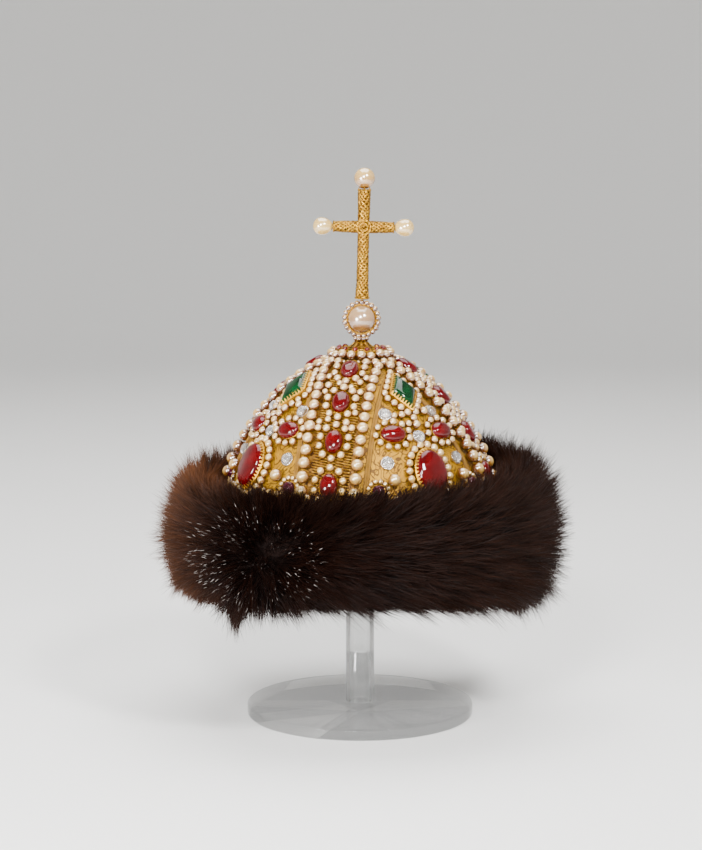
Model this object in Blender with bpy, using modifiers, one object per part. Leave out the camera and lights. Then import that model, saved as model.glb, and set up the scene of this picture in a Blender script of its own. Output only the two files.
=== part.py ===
"""Costume crown on a clear acrylic display stand, in metres, +Z up.

The origin is the centre of the stand's underside. The crown is modelled upright in a frame
of its own, whose origin is the centre of its rim, and an empty leans that frame on the stand.
"""

import math

import bmesh
import bpy
from mathutils import Matrix, Vector

# Clearance between pieces that touch on the real object
GAP = 0.0003

# Cap: a felt dome on a straight wall, a superellipse in profile
CAP_RADIUS = 0.094
CAP_WALL_HEIGHT = 0.040
CAP_DOME_HEIGHT = 0.116
CAP_DOME_POWER = 1.72
CAP_THICKNESS = 0.003
CAP_SIDES = 36
CAP_ROWS = 9

# Stand: round foot, tube and a domed head that carries the cap
FOOT_DIAMETER = 0.160
FOOT_THICKNESS = 0.008
FOOT_EDGE = 0.0015
POST_DIAMETER = 0.020
POST_WALL = 0.003
HEAD_SPHERE_RADIUS = 0.060
HEAD_THICKNESS = 0.024
STAND_SIDES = 24
HEAD_ROWS = 6
RIM_HEIGHT = 0.100
CROWN_LEAN_DEG = 0.5

# Fur band round the wall of the cap
FUR_SEAT_HEIGHT = 0.060
FUR_CREST_HEIGHT = 0.078
FUR_CREST_BACK_RISE = 0.005
FUR_CREST_SIDE_RISE = 0.0065
FUR_DROP = 0.004
FUR_SIDE_DROP = 0.008
FUR_DEPTH = 0.037
FUR_WIDER = 0.0015
FUR_WIDE_AZIMUTH_DEG = -60.0
FUR_VALLEY_MARGIN = 0.0008
FUR_CHORD_MARGIN = 0.00006
LOCK_LENGTH = 0.050
LOCK_WIDTH = 0.030
LOCK_THICKNESS = 0.015
LOCK_SIDES = 6
LOCKS_ROUND = 15
LOCK_LIFT = 0.04
LOCK_PARTING_LIFT = 0.16
LOCK_TURN_OVER = 2.2
LOCK_ROOT_SINK = 0.3
LOCK_ROOT_BACK = 0.25
PARTING_AZIMUTH_DEG = -36.0
TAIL_LENGTH = 0.040
TAIL_AZIMUTH_DEG = -44.0
TAIL_SHARE = 0.75
TAIL_LIFT = 0.1

# Stones, each in a metal setting
OVAL_LENGTH = 0.018
OVAL_WIDTH = 0.013
OVAL_HEIGHT = 0.0064
OVAL_SIDES = 8
OVAL_PEARL = 0.0058
CABOCHON_PEARL = 0.0052
GREAT_OVAL_LENGTH = 0.033
GREAT_OVAL_WIDTH = 0.024
GREAT_OVAL_HEIGHT = 0.0082
GREAT_OVAL_SIDES = 14
GREAT_PEARL = 0.0058
LOZENGE_LENGTH = 0.033
LOZENGE_WIDTH = 0.0210
LOZENGE_HEIGHT = 0.0076
LOZENGE_CORNER = 0.0006
LOZENGE_PEARL = 0.0054

# Layout: four narrow bands of ovals and four wide panels, one pair to a quarter turn
FIRST_BAND_AZIMUTH_DEG = -13.8
PANEL_FROM_BAND_DEG = 46.5
BAND_NAMES = ("front", "right", "back", "left")
PANEL_NAMES = ("front_right", "back_right", "back_left", "front_left")
BAND_OVALS = 4
STONE_MARGIN = 0.001
PANEL_LENGTH = 0.1233
PLATE_TO_LOZENGE = 0.0232
LOZENGE_TO_CABOCHONS = 0.0149
BETWEEN_CABOCHONS = 0.0090

# Pearl strings along both edges of a band, and the braid beside each
STRING_TOP_PEARL = 0.0072
STRING_LOW_PEARL = 0.0090
STRING_PEARL_GAP = 0.0009
STRING_THREAD = 0.0030
STRING_FROM_OVALS = 0.0005
STRING_RESOLUTION = 3
PLATE_TO_STRING = 0.0200
BRAID_WIDTH = 0.0040
BRAID_THICKNESS = 0.0010
BRAID_FROM_STRING = 0.0004

# Finial: plate with small stones, haloed pearl and cross
PLATE_RADIUS = 0.0175
PLATE_THICKNESS = 0.0040
PLATE_DROOP = 0.25
PLATE_STONES = 12
PLATE_STONE = 0.0040
PLATE_STONE_SIDES = 6
PLATE_STONE_RISE = 0.0016
PLATE_STONE_TABLE = 0.56
PLATE_STONE_OVER_EDGE = 0.0002
COLLAR_RADIUS = 0.0085
COLLAR_HEIGHT = 0.0056
FINIAL_SIDES = 18
FINIAL_LEAN_DEG = 0.7
BALL_PEARL = 0.0190
HALO_PEARL = 0.0039
HALO_STEPS = 20
HALO_RESOLUTION = 2
CROSS_BAR = 0.0083
CROSS_HEIGHT = 0.0760
CROSS_ARM_LEVEL = 0.0500
CROSS_ARM_SPAN = 0.0414
CROSS_RESOLUTION = 2
CROSS_ROSETTE = 0.0100
CROSS_ROSETTE_RISE = 0.0009
TOP_PEARL = 0.0145
ARM_PEARL_LENGTH = 0.0140
ARM_PEARL_WIDTH = 0.0120
PEARL_SIDES = 12
PEARL_RINGS = 8

# Colours seen on the real thing: name, colour, roughness, metallic
FINISHES = {
    "gold_brocade": ((0.72, 0.50, 0.14), 0.55, 0.4),
    "fur": ((0.035, 0.018, 0.012), 0.6, 0.0),
    "gold_metal": ((0.83, 0.60, 0.25), 0.35, 1.0),
    "pearl": ((0.90, 0.84, 0.70), 0.2, 0.0),
    "red_stone": ((0.45, 0.0, 0.02), 0.05, 0.0),
    "green_stone": ((0.01, 0.16, 0.05), 0.05, 0.0),
    "gold_braid": ((0.62, 0.42, 0.14), 0.6, 0.3),
    "clear_acrylic": ((0.92, 0.94, 0.95), 0.03, 0.0),
}

FUR_SECTION = (
    # share of the depth outwards, share of the height from hem to crest
    (0.42, 0.97),
    (0.58, 1.00),
    (0.80, 0.87),
    (0.96, 0.62),
    (1.00, 0.36),
    (0.91, 0.12),
    (0.62, 0.00),
    (0.16, 0.02),
)

LOCK_ROWS = (
    # place on the outer side (share of the way from crest to hem), turn of the row in lock
    # pitches, climb of the hair (1 up, -1 down), size as a share of a full lock
    (0.16, 0.0, 0.55, 0.75),
    (0.36, 0.5, 0.20, 1.00),
    (0.58, 0.0, -0.10, 1.00),
    (0.80, 0.5, -0.45, 0.85),
)

STONE_ROWS = (
    # share of the stone's outline, share of a pearl outside it,
    # share of the stone's height, share of a pearl's height
    (0.60, 0.00, 1.00, 0.00),
    (0.93, 0.00, 0.78, 0.00),
    (1.00, 0.12, 0.00, 0.50),
    (1.00, 0.34, 0.00, 0.92),
    (1.00, 0.76, 0.00, 0.92),
    (1.00, 1.00, 0.00, 0.00),
)

CABOCHON_ROWS = (
    (0.42, 0.00, 1.00, 0.00),
    (0.88, 0.00, 0.80, 0.00),
    (1.00, 0.12, 0.00, 0.50),
    (1.00, 0.34, 0.00, 0.92),
    (1.00, 0.76, 0.00, 0.92),
    (1.00, 1.00, 0.00, 0.00),
)

STRING_BEAD = (
    # along the string from the bead's middle, radius, both as shares of the bead's radius
    (-0.42, 0.95),
    (0.42, 0.95),
)

COLLAR_PROFILE = (
    # share of the collar's radius, share of its height
    (0.00, 1.00),
    (0.42, 1.00),
    (0.66, 0.86),
    (0.80, 0.50),
    (1.00, 0.22),
    (1.00, 0.00),
)

# Radius of the cross's bars along their length, as shares of half their width
UPRIGHT_WAISTS = (1.05, 0.97, 0.95, 0.97, 1.05)
ARM_WAISTS = (0.80, 0.96, 1.00, 0.96, 0.80)

DROP_PROFILE = (
    # along the drop from the arm, radius as a share of the half width
    (1.00, 0.00),
    (0.93, 0.50),
    (0.75, 0.92),
    (0.52, 1.00),
    (0.28, 0.84),
    (0.06, 0.45),
    (0.00, 0.00),
)


def clear_scene():
    for obj in list(bpy.data.objects):
        bpy.data.objects.remove(obj, do_unlink=True)


def make_materials():
    made = {}
    for name, (colour, roughness, metallic) in FINISHES.items():
        made[name] = bpy.data.materials.new(name)
        made[name].use_nodes = True
        shader = made[name].node_tree.nodes["Principled BSDF"]
        shader.inputs["Base Color"].default_value = (*colour, 1.0)
        shader.inputs["Roughness"].default_value = roughness
        shader.inputs["Metallic"].default_value = metallic
    return made


def make_collection(name):
    collection = bpy.data.collections.new(name)
    bpy.context.scene.collection.children.link(collection)
    return collection


class Workshop:
    """Where finished pieces go: their collection, materials and frames."""

    def __init__(self):
        self.parts = make_collection("costume_crown")
        self.materials = make_materials()

    def add(self, name, data, finish, parent=None, matrix=None):
        if not data.materials:
            data.materials.append(self.materials[finish])
        obj = bpy.data.objects.new(name, data)
        self.parts.objects.link(obj)
        obj.parent = parent
        if matrix is not None:
            obj.matrix_local = matrix
        return obj

    def add_frame(self, name, matrix, parent=None):
        frame = bpy.data.objects.new(name, None)
        self.parts.objects.link(frame)
        frame.parent = parent
        frame.matrix_local = matrix
        return frame


# Dome geometry: every place on the cap comes from these functions


def dome_radius(z):
    """Radius of the cap's outside at height z above the rim."""
    level = min(max((z - CAP_WALL_HEIGHT) / CAP_DOME_HEIGHT, 0.0), 1.0)
    return CAP_RADIUS * (1.0 - level**CAP_DOME_POWER) ** (1.0 / CAP_DOME_POWER)


def dome_rows(radius, height, rows):
    """(radius, z) from the apex down to the top of the wall."""
    power = 2.0 / CAP_DOME_POWER
    points = []
    for row in range(rows + 1):
        angle = math.pi / 2 * (1.0 - row / rows)
        r = radius * math.cos(angle) ** power if row else 0.0
        points.append((r, CAP_WALL_HEIGHT + height * math.sin(angle) ** power))
    return points


def dome_path(lateral, samples=240):
    """Cap outline in the plane `lateral` beside a meridian: (length, out, z) from the top."""
    rows = []
    length = 0.0
    for point in dome_rows(CAP_RADIUS, CAP_DOME_HEIGHT, samples):
        if point[0] <= lateral:
            continue
        here = (math.sqrt(point[0] ** 2 - lateral**2), point[1])
        if rows:
            length += math.dist(here, rows[-1][1:])
        rows.append((length, *here))
    return rows


def along_path(path, length):
    """(out, z) at a length down a dome path."""
    for before, after in zip(path, path[1:]):
        if after[0] >= length:
            share = (length - before[0]) / (after[0] - before[0])
            return tuple(a + (b - a) * share for a, b in zip(before[1:], after[1:]))
    return path[-1][1:]


def length_at_height(path, z):
    """Length down a dome path to the height z."""
    return next(row[0] for row in path if row[2] <= z)


def dome_normal(z):
    """(outward, upward) unit normal of the cap at height z."""
    step = CAP_DOME_HEIGHT / 400
    low = max(z - step, CAP_WALL_HEIGHT)
    high = min(z + step, CAP_WALL_HEIGHT + CAP_DOME_HEIGHT)
    slope = Vector((high - low, dome_radius(low) - dome_radius(high)))
    return slope.normalized()


def built_radius(z):
    """Radius of the cap as it is built, straight between its rows, at height z."""
    rows = dome_rows(CAP_RADIUS, CAP_DOME_HEIGHT, CAP_ROWS)
    for (r_upper, z_upper), (r_lower, z_lower) in zip(rows, rows[1:]):
        if z >= z_lower:
            return r_lower + (r_upper - r_lower) * (z - z_lower) / (z_upper - z_lower)
    return CAP_RADIUS


def surface_matrix(azimuth, lateral, out, z, lift):
    """Frame on the cap: X along the surface sideways, Y up the surface, Z off the surface."""
    radius = math.hypot(out, lateral)
    turn = Matrix.Rotation(azimuth + math.asin(lateral / radius), 4, "Z")
    outward, upward = dome_normal(z)
    sideways = Vector((1.0, 0.0, 0.0))
    off = Vector((0.0, -outward, upward))
    axes = Matrix((sideways, off.cross(sideways), off)).transposed().to_4x4()
    place = Vector((0.0, -radius, z)) + off * lift
    return turn @ Matrix.Translation(place) @ axes


# Shape makers


def turned(profile, sides):
    """Mesh of a profile of (radius, z) points, run down its outer side, spun round Z."""
    bm = bmesh.new()
    ring = [bm.verts.new((r, 0.0, z)) for r, z in profile]
    for a, b in zip(ring, ring[1:]):
        bm.edges.new((a, b))
    mesh = bpy.data.meshes.new("profile")
    bm.to_mesh(mesh)
    bm.free()
    helper = bpy.data.objects.new("profile", mesh)
    bpy.context.scene.collection.objects.link(helper)
    screw = helper.modifiers.new("Screw", "SCREW")
    screw.steps = screw.render_steps = sides
    screw.use_merge_vertices = True
    screw.merge_threshold = 1e-6
    screw.use_smooth_shade = False
    made = evaluated_mesh(helper)
    bpy.data.objects.remove(helper)
    return rounded(made)


def evaluated_mesh(obj):
    bpy.context.view_layer.update()
    graph = bpy.context.evaluated_depsgraph_get()
    made = bpy.data.meshes.new_from_object(obj.evaluated_get(graph))
    bm = bmesh.new()
    bm.from_mesh(made)
    bmesh.ops.remove_doubles(bm, verts=bm.verts, dist=1e-6)
    bmesh.ops.recalc_face_normals(bm, faces=bm.faces)
    bm.to_mesh(made)
    bm.free()
    return made


def lofted(rings):
    """Closed mesh through rings of as many points each, from the top ring to the bottom one."""
    bm = bmesh.new()
    loops = [[bm.verts.new(point) for point in ring] for ring in rings]
    for upper, lower in zip(loops, loops[1:]):
        for k, corner in enumerate(upper):
            bm.faces.new((upper[k - 1], lower[k - 1], lower[k], corner))
    bm.faces.new(loops[0])
    bm.faces.new(reversed(loops[-1]))
    bmesh.ops.recalc_face_normals(bm, faces=bm.faces)
    mesh = bpy.data.meshes.new("loft")
    bm.to_mesh(mesh)
    bm.free()
    return mesh


def rounded(mesh):
    """Shade a mesh smooth, but sharp where its faces meet at an edge."""
    mesh.shade_smooth()
    mesh.set_sharp_from_angle(angle=math.radians(40.0))
    return mesh


def sphere(diameter):
    mesh = bpy.data.meshes.new("sphere")
    bm = bmesh.new()
    bmesh.ops.create_uvsphere(
        bm, u_segments=PEARL_SIDES, v_segments=PEARL_RINGS, radius=diameter / 2
    )
    bm.to_mesh(mesh)
    bm.free()
    return rounded(mesh)


def tube(points, radii, resolution, cyclic=False):
    """Curve through the points with a round section of its own radius at each."""
    curve = bpy.data.curves.new("tube", "CURVE")
    curve.dimensions = "3D"
    curve.bevel_depth = 1.0
    curve.bevel_resolution = resolution
    curve.use_fill_caps = not cyclic
    spline = curve.splines.new("POLY")
    spline.points.add(len(points) - 1)
    for point, place, radius in zip(spline.points, points, radii):
        point.co = (*place, 1.0)
        point.radius = radius
    spline.use_cyclic_u = cyclic
    return curve


def fused(target, others):
    """Mesh of the union of a mesh and others, each a mesh in the same frame."""
    holder = bpy.data.collections.new("cutters")
    bpy.context.scene.collection.children.link(holder)
    body = bpy.data.objects.new("body", target)
    bpy.context.scene.collection.objects.link(body)
    for other in others:
        holder.objects.link(bpy.data.objects.new("other", other))
    union = body.modifiers.new("Boolean", "BOOLEAN")
    union.operation = "UNION"
    union.operand_type = "COLLECTION"
    union.collection = holder
    made = evaluated_mesh(body)
    for obj in [body, *holder.objects]:
        bpy.data.objects.remove(obj)
    bpy.data.collections.remove(holder)
    return made


# Stand


def head_centre_height():
    """Centre of the head's sphere above the rim, so that the sphere just clears the lining."""
    reach = HEAD_SPHERE_RADIUS + GAP
    facet = math.cos(math.pi / CAP_SIDES)
    rows = dome_rows(CAP_RADIUS - CAP_THICKNESS, CAP_DOME_HEIGHT - CAP_THICKNESS, CAP_ROWS)
    levels = []
    for (r_upper, z_upper), (r_lower, z_lower) in zip(rows, rows[1:]):
        for step in range(13):
            share = step / 12
            r = (r_upper + (r_lower - r_upper) * share) * facet
            z = z_upper + (z_lower - z_upper) * share
            if r < reach:
                levels.append(z - math.sqrt(reach**2 - r**2))
    return min(levels)


def build_stand(shop, sphere_centre):
    edge = FOOT_EDGE
    foot = FOOT_DIAMETER / 2
    profile = (
        (0.0, FOOT_THICKNESS),
        (foot - edge, FOOT_THICKNESS),
        (foot, FOOT_THICKNESS - edge),
        (foot, edge),
        (foot - edge, 0.0),
        (0.0, 0.0),
    )
    shop.add("stand_foot", turned(profile, 2 * STAND_SIDES), "clear_acrylic")

    head_top = sphere_centre + HEAD_SPHERE_RADIUS
    head_under = head_top - HEAD_THICKNESS
    low = FOOT_THICKNESS + GAP
    high = head_under - GAP
    outer = POST_DIAMETER / 2
    inner = outer - POST_WALL
    wall = ((outer, high), (outer, low), (inner, low), (inner, high), (outer, high))
    shop.add("stand_post", turned(wall, STAND_SIDES), "clear_acrylic")

    reach = math.acos((head_under - sphere_centre) / HEAD_SPHERE_RADIUS)
    dome = []
    for row in range(HEAD_ROWS + 1):
        angle = reach * row / HEAD_ROWS
        r = HEAD_SPHERE_RADIUS * math.sin(angle)
        dome.append((r, sphere_centre + HEAD_SPHERE_RADIUS * math.cos(angle)))
    dome.append((0.0, head_under))
    shop.add("stand_head", turned(dome, STAND_SIDES), "clear_acrylic")


# Cap and fur


def build_cap(shop, crown):
    outside = dome_rows(CAP_RADIUS, CAP_DOME_HEIGHT, CAP_ROWS)
    inside = dome_rows(CAP_RADIUS - CAP_THICKNESS, CAP_DOME_HEIGHT - CAP_THICKNESS, CAP_ROWS)
    profile = [
        *outside,
        (CAP_RADIUS, 0.0),
        (CAP_RADIUS - CAP_THICKNESS, 0.0),
        *reversed(inside),
    ]
    shop.add("cap_shell", turned(profile, CAP_SIDES), "gold_brocade", crown)


def ring_point(azimuth, radius, z):
    """Point at an azimuth measured from the front towards +X."""
    return Vector((radius * math.sin(azimuth), -radius * math.cos(azimuth), z))


def fur_inside():
    """Inner wall of the fur as (radius, z): up the cap to the seat, then out past the pearls."""
    wall = GAP / math.cos(math.pi / CAP_SIDES)
    inside = [(CAP_RADIUS + wall, -FUR_DROP), (CAP_RADIUS + wall, CAP_WALL_HEIGHT)]
    for r, z in reversed(dome_rows(CAP_RADIUS, CAP_DOME_HEIGHT, CAP_ROWS)):
        if CAP_WALL_HEIGHT < z < FUR_SEAT_HEIGHT:
            inside.append((r + wall + FUR_CHORD_MARGIN, z))
    seat = built_radius(FUR_SEAT_HEIGHT) + wall + FUR_CHORD_MARGIN
    valley = seat + STRING_LOW_PEARL + FUR_VALLEY_MARGIN
    return [*inside, (seat, FUR_SEAT_HEIGHT), (valley, FUR_SEAT_HEIGHT + FUR_VALLEY_MARGIN)]


def fur_outside(azimuth):
    """Outer side of the fur at an azimuth as (radius, z), from its crest down to its hem."""
    depth = FUR_DEPTH + FUR_WIDER * math.cos(azimuth - math.radians(FUR_WIDE_AZIMUTH_DEG))
    crest = FUR_CREST_HEIGHT - FUR_CREST_BACK_RISE * math.cos(azimuth)
    crest += FUR_CREST_SIDE_RISE * math.sin(azimuth)
    drop = FUR_DROP + FUR_SIDE_DROP * math.sin(azimuth) ** 2
    return [(CAP_RADIUS + depth * out, (crest + drop) * up - drop) for out, up in FUR_SECTION]


def fur_core():
    """Plain ring of the fur band, lofted round the cap through its sections."""
    bm = bmesh.new()
    rings = []
    for side in range(CAP_SIDES):
        azimuth = 2 * math.pi * side / CAP_SIDES
        section = [*fur_inside(), *fur_outside(azimuth)]
        rings.append([bm.verts.new(ring_point(azimuth, *place)) for place in section])
    for side, ring in enumerate(rings):
        before = rings[side - 1]
        for k, corner in enumerate(ring):
            bm.faces.new((before[k - 1], ring[k - 1], corner, before[k]))
    bmesh.ops.recalc_face_normals(bm, faces=bm.faces)
    mesh = bpy.data.meshes.new("fur_core")
    bm.to_mesh(mesh)
    bm.free()
    return mesh


def place_on_fur(azimuth, share):
    """Point on the outer side of the fur band and the direction straight off it."""
    outside = fur_outside(azimuth)
    steps = [math.dist(a, b) for a, b in zip(outside, outside[1:])]
    left = share * sum(steps)
    for a, b, step in zip(outside, outside[1:], steps):
        if left <= step:
            break
        left -= step
    r = a[0] + (b[0] - a[0]) * left / step
    z = a[1] + (b[1] - a[1]) * left / step
    off = ring_point(azimuth, (a[1] - b[1]) / step, (b[0] - a[0]) / step)
    return ring_point(azimuth, r, z), off


def hair_flow(azimuth, climb, off):
    """Direction in which the hair runs: round the band away from the parting, and off it."""
    away = azimuth - math.radians(PARTING_AZIMUTH_DEG)
    away = math.atan2(math.sin(away), math.cos(away))
    around = math.tanh(LOCK_TURN_OVER * away) * math.cos(away / 2)
    tangent = Vector((math.cos(azimuth), math.sin(azimuth), 0.0))
    lift = LOCK_LIFT + LOCK_PARTING_LIFT * (1.0 - abs(around))
    return (tangent * around + Vector((0.0, 0.0, climb)) + off * lift).normalized()


def lock_mesh(place, flow, off, length, width, thickness):
    """Tapered lock of hair: a flattened cone along `flow`, its root sunk into the band."""
    mesh = bpy.data.meshes.new("lock")
    bm = bmesh.new()
    bmesh.ops.create_cone(
        bm, cap_ends=True, segments=LOCK_SIDES, radius1=0.5, radius2=0.0, depth=1.0
    )
    sideways = flow.cross(off).normalized()
    across = sideways.cross(flow).normalized()
    axes = Matrix((sideways * width, across * thickness, flow * length)).transposed().to_4x4()
    middle = place - off * thickness * LOCK_ROOT_SINK + flow * length * LOCK_ROOT_BACK
    bmesh.ops.transform(bm, matrix=Matrix.Translation(middle) @ axes, verts=bm.verts)
    bmesh.ops.recalc_face_normals(bm, faces=bm.faces)
    bm.to_mesh(mesh)
    bm.free()
    return mesh


def fur_locks():
    locks = []
    for share, turn, climb, size in LOCK_ROWS:
        for k in range(LOCKS_ROUND):
            azimuth = 2 * math.pi * (k + turn) / LOCKS_ROUND
            place, off = place_on_fur(azimuth, share)
            flow = hair_flow(azimuth, climb, off)
            sizes = (LOCK_LENGTH * size, LOCK_WIDTH * size, LOCK_THICKNESS * size)
            locks.append(lock_mesh(place, flow, off, *sizes))
    return locks


def tail_lock():
    """The long tuft that hangs under the front left of the band."""
    azimuth = math.radians(TAIL_AZIMUTH_DEG)
    place, off = place_on_fur(azimuth, TAIL_SHARE)
    flow = (Vector((0.0, 0.0, -1.0)) + off * TAIL_LIFT).normalized()
    return lock_mesh(place, flow, off, TAIL_LENGTH, LOCK_WIDTH, LOCK_THICKNESS)


def build_fur(shop, crown):
    shop.add("fur_band", fused(fur_core(), [*fur_locks(), tail_lock()]), "fur", crown)


# Stones


def oval_outline(width, length, sides):
    """(point, outward normal) round an oval."""
    outline = []
    for k in range(sides):
        angle = 2 * math.pi * (k + 0.5) / sides
        point = Vector((width / 2 * math.cos(angle), length / 2 * math.sin(angle), 0.0))
        normal = Vector((math.cos(angle) / width, math.sin(angle) / length, 0.0))
        outline.append((point, normal.normalized()))
    return outline


def lozenge_outline(width, length):
    """(point, outward normal) round a lozenge: each corner is given once for each side."""
    outline = []
    for k in range(4):
        angle = math.pi / 2 * k
        corner = Vector((width / 2 * math.cos(angle), length / 2 * math.sin(angle), 0.0))
        for turn in (-math.pi / 4, math.pi / 4):
            across = math.copysign(length, math.cos(angle + turn))
            along = math.copysign(width, math.sin(angle + turn))
            outline.append((corner, Vector((across, along, 0.0)).normalized()))
    return outline


def stone_mesh(outline, height, pearl, corner=0.0, rows=STONE_ROWS):
    """Stone in its setting, with the round moulding of the pearls sewn about it."""
    rings = []
    for share, outside, stone_up, pearl_up in rows:
        z = height * stone_up + pearl * pearl_up
        reach = corner + pearl * outside
        rings.append([p * share + n * reach + Vector((0.0, 0.0, z)) for p, n in outline])
    return lofted(rings)


def band_azimuth(quarter):
    return math.radians(FIRST_BAND_AZIMUTH_DEG + 90.0 * quarter)


def panel_azimuth(quarter):
    return band_azimuth(quarter) + math.radians(PANEL_FROM_BAND_DEG)


def lowest_seat(path, length, pearl):
    """Length down a path of the middle of a stone whose pearls end just above the fur's seat."""
    return length_at_height(path, FUR_SEAT_HEIGHT) - STONE_MARGIN - pearl - length / 2


def place_stone(shop, crown, name, mesh, finish, azimuth, lateral, path, length, lift=GAP):
    out, z = along_path(path, length)
    shop.add(name, mesh, finish, crown, surface_matrix(azimuth, lateral, out, z, lift))


def build_band_ovals(shop, crown):
    path = dome_path(0.0)
    first = PLATE_RADIUS + STONE_MARGIN + OVAL_PEARL + OVAL_LENGTH / 2
    last = lowest_seat(path, OVAL_LENGTH, OVAL_PEARL)
    outline = oval_outline(OVAL_WIDTH, OVAL_LENGTH, OVAL_SIDES)
    mesh = stone_mesh(outline, OVAL_HEIGHT, OVAL_PEARL)
    for quarter, band in enumerate(BAND_NAMES):
        azimuth = band_azimuth(quarter)
        for k in range(BAND_OVALS):
            length = first + (last - first) * k / (BAND_OVALS - 1)
            name = f"oval_{band}_{k + 1}"
            place_stone(shop, crown, name, mesh, "red_stone", azimuth, 0.0, path, length)


def build_panel_stones(shop, crown):
    middle = dome_path(0.0)
    fit = (length_at_height(middle, FUR_SEAT_HEIGHT) - PLATE_RADIUS) / PANEL_LENGTH
    lozenge = stone_mesh(
        lozenge_outline(LOZENGE_WIDTH * fit, LOZENGE_LENGTH * fit),
        LOZENGE_HEIGHT,
        LOZENGE_PEARL * fit,
        LOZENGE_CORNER,
    )
    great = stone_mesh(
        oval_outline(GREAT_OVAL_WIDTH * fit, GREAT_OVAL_LENGTH * fit, GREAT_OVAL_SIDES),
        GREAT_OVAL_HEIGHT,
        GREAT_PEARL * fit,
    )
    domed = stone_mesh(
        oval_outline(OVAL_LENGTH * fit, OVAL_WIDTH * fit, OVAL_SIDES),
        OVAL_HEIGHT,
        CABOCHON_PEARL * fit,
        rows=CABOCHON_ROWS,
    )
    lozenge_at = PLATE_RADIUS + (PLATE_TO_LOZENGE + LOZENGE_LENGTH / 2) * fit
    great_at = lowest_seat(middle, GREAT_OVAL_LENGTH * fit, GREAT_PEARL * fit)
    aside = (BETWEEN_CABOCHONS / 2 + CABOCHON_PEARL + OVAL_LENGTH / 2) * fit
    beside = dome_path(aside)
    level = along_path(middle, lozenge_at + (LOZENGE_LENGTH / 2 + LOZENGE_TO_CABOCHONS) * fit)[1]
    domed_at = length_at_height(beside, level)
    over_braid = BRAID_THICKNESS
    for quarter, panel in enumerate(PANEL_NAMES):
        azimuth = panel_azimuth(quarter)
        for name, mesh, finish, lateral, path, length, lift in (
            (f"lozenge_{panel}", lozenge, "green_stone", 0.0, middle, lozenge_at, over_braid),
            (f"great_oval_{panel}", great, "red_stone", 0.0, middle, great_at, GAP),
            (f"cabochon_{panel}_l", domed, "red_stone", -aside, beside, domed_at, over_braid),
            (f"cabochon_{panel}_r", domed, "red_stone", aside, beside, domed_at, over_braid),
        ):
            place_stone(shop, crown, name, mesh, finish, azimuth, lateral, path, length, lift)


# Pearl strings and braids


def string_lateral():
    """Distance of a pearl string from the middle of its band."""
    return OVAL_WIDTH / 2 + OVAL_PEARL + STRING_FROM_OVALS + STRING_LOW_PEARL / 2


def string_pearls(path):
    """(length down the path, diameter) of each pearl of a string."""
    end = length_at_height(path, FUR_SEAT_HEIGHT) - STONE_MARGIN
    at = PLATE_TO_STRING + STRING_TOP_PEARL / 2
    pearls = []
    while at + STRING_LOW_PEARL / 2 < end:
        size = STRING_TOP_PEARL + (STRING_LOW_PEARL - STRING_TOP_PEARL) * at / end
        pearls.append((at, size))
        at += size + STRING_PEARL_GAP
    return pearls


def string_points(path, lateral):
    """Points and radii of a pearl string: its own radius draws each bead, with thread between."""
    points = []
    radii = []
    for at, size in string_pearls(path):
        half = (size + STRING_PEARL_GAP) / 2
        rings = [(-half, STRING_THREAD / 2)]
        rings += [(size / 2 * along, size / 2 * share) for along, share in STRING_BEAD]
        for along, radius in rings:
            out, z = along_path(path, at + along)
            outward, upward = dome_normal(z)
            lift = size / 2 + GAP
            grown = 1.0 + outward * lift / math.hypot(out, lateral)
            points.append((lateral * grown, -out * grown, z + upward * lift))
            radii.append(radius)
    return points, radii


def build_strings(shop, crown):
    lateral = string_lateral()
    points, radii = string_points(dome_path(lateral), lateral)
    for side, sign in (("l", -1), ("r", 1)):
        string = tube([(sign * x, y, z) for x, y, z in points], radii, STRING_RESOLUTION)
        for quarter, band in enumerate(BAND_NAMES):
            turn = Matrix.Rotation(band_azimuth(quarter), 4, "Z")
            shop.add(f"pearl_string_{band}_{side}", string, "pearl", crown, turn)


def braid_ribbon(lateral, sign):
    """Open ribbon on the cap beside a string, a station at each row of the cap."""
    rows = dome_rows(CAP_RADIUS, CAP_DOME_HEIGHT, CAP_ROWS)
    meet = lateral + BRAID_WIDTH
    stations = [z for r, z in rows if r > meet / math.sin(math.pi / 4) and z > FUR_SEAT_HEIGHT]
    bm = bmesh.new()
    pairs = []
    for z in [*stations, FUR_SEAT_HEIGHT + STONE_MARGIN]:
        radius = dome_radius(z)
        outward, upward = dome_normal(z)
        pair = []
        for edge in (-BRAID_WIDTH / 2, BRAID_WIDTH / 2):
            azimuth = sign * math.asin(lateral / radius) + edge / radius
            place = ring_point(azimuth, radius + outward * GAP, z + upward * GAP)
            pair.append(bm.verts.new(place))
        pairs.append(pair)
    for upper, lower in zip(pairs, pairs[1:]):
        bm.faces.new((upper[0], lower[0], lower[1], upper[1]))
    mesh = bpy.data.meshes.new("braid")
    bm.to_mesh(mesh)
    bm.free()
    return mesh


def build_braids(shop, crown):
    """Flat gold braid outside each string: an open ribbon given its thickness."""
    lateral = string_lateral() + STRING_LOW_PEARL / 2 + BRAID_FROM_STRING + BRAID_WIDTH / 2
    for side, sign in (("l", -1), ("r", 1)):
        ribbon = braid_ribbon(lateral, sign)
        for quarter, band in enumerate(BAND_NAMES):
            turn = Matrix.Rotation(band_azimuth(quarter), 4, "Z")
            braid = shop.add(f"braid_{band}_{side}", ribbon, "gold_braid", crown, turn)
            wall = braid.modifiers.new("Solidify", "SOLIDIFY")
            wall.thickness = BRAID_THICKNESS
            wall.offset = 1.0


# Finial


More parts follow.
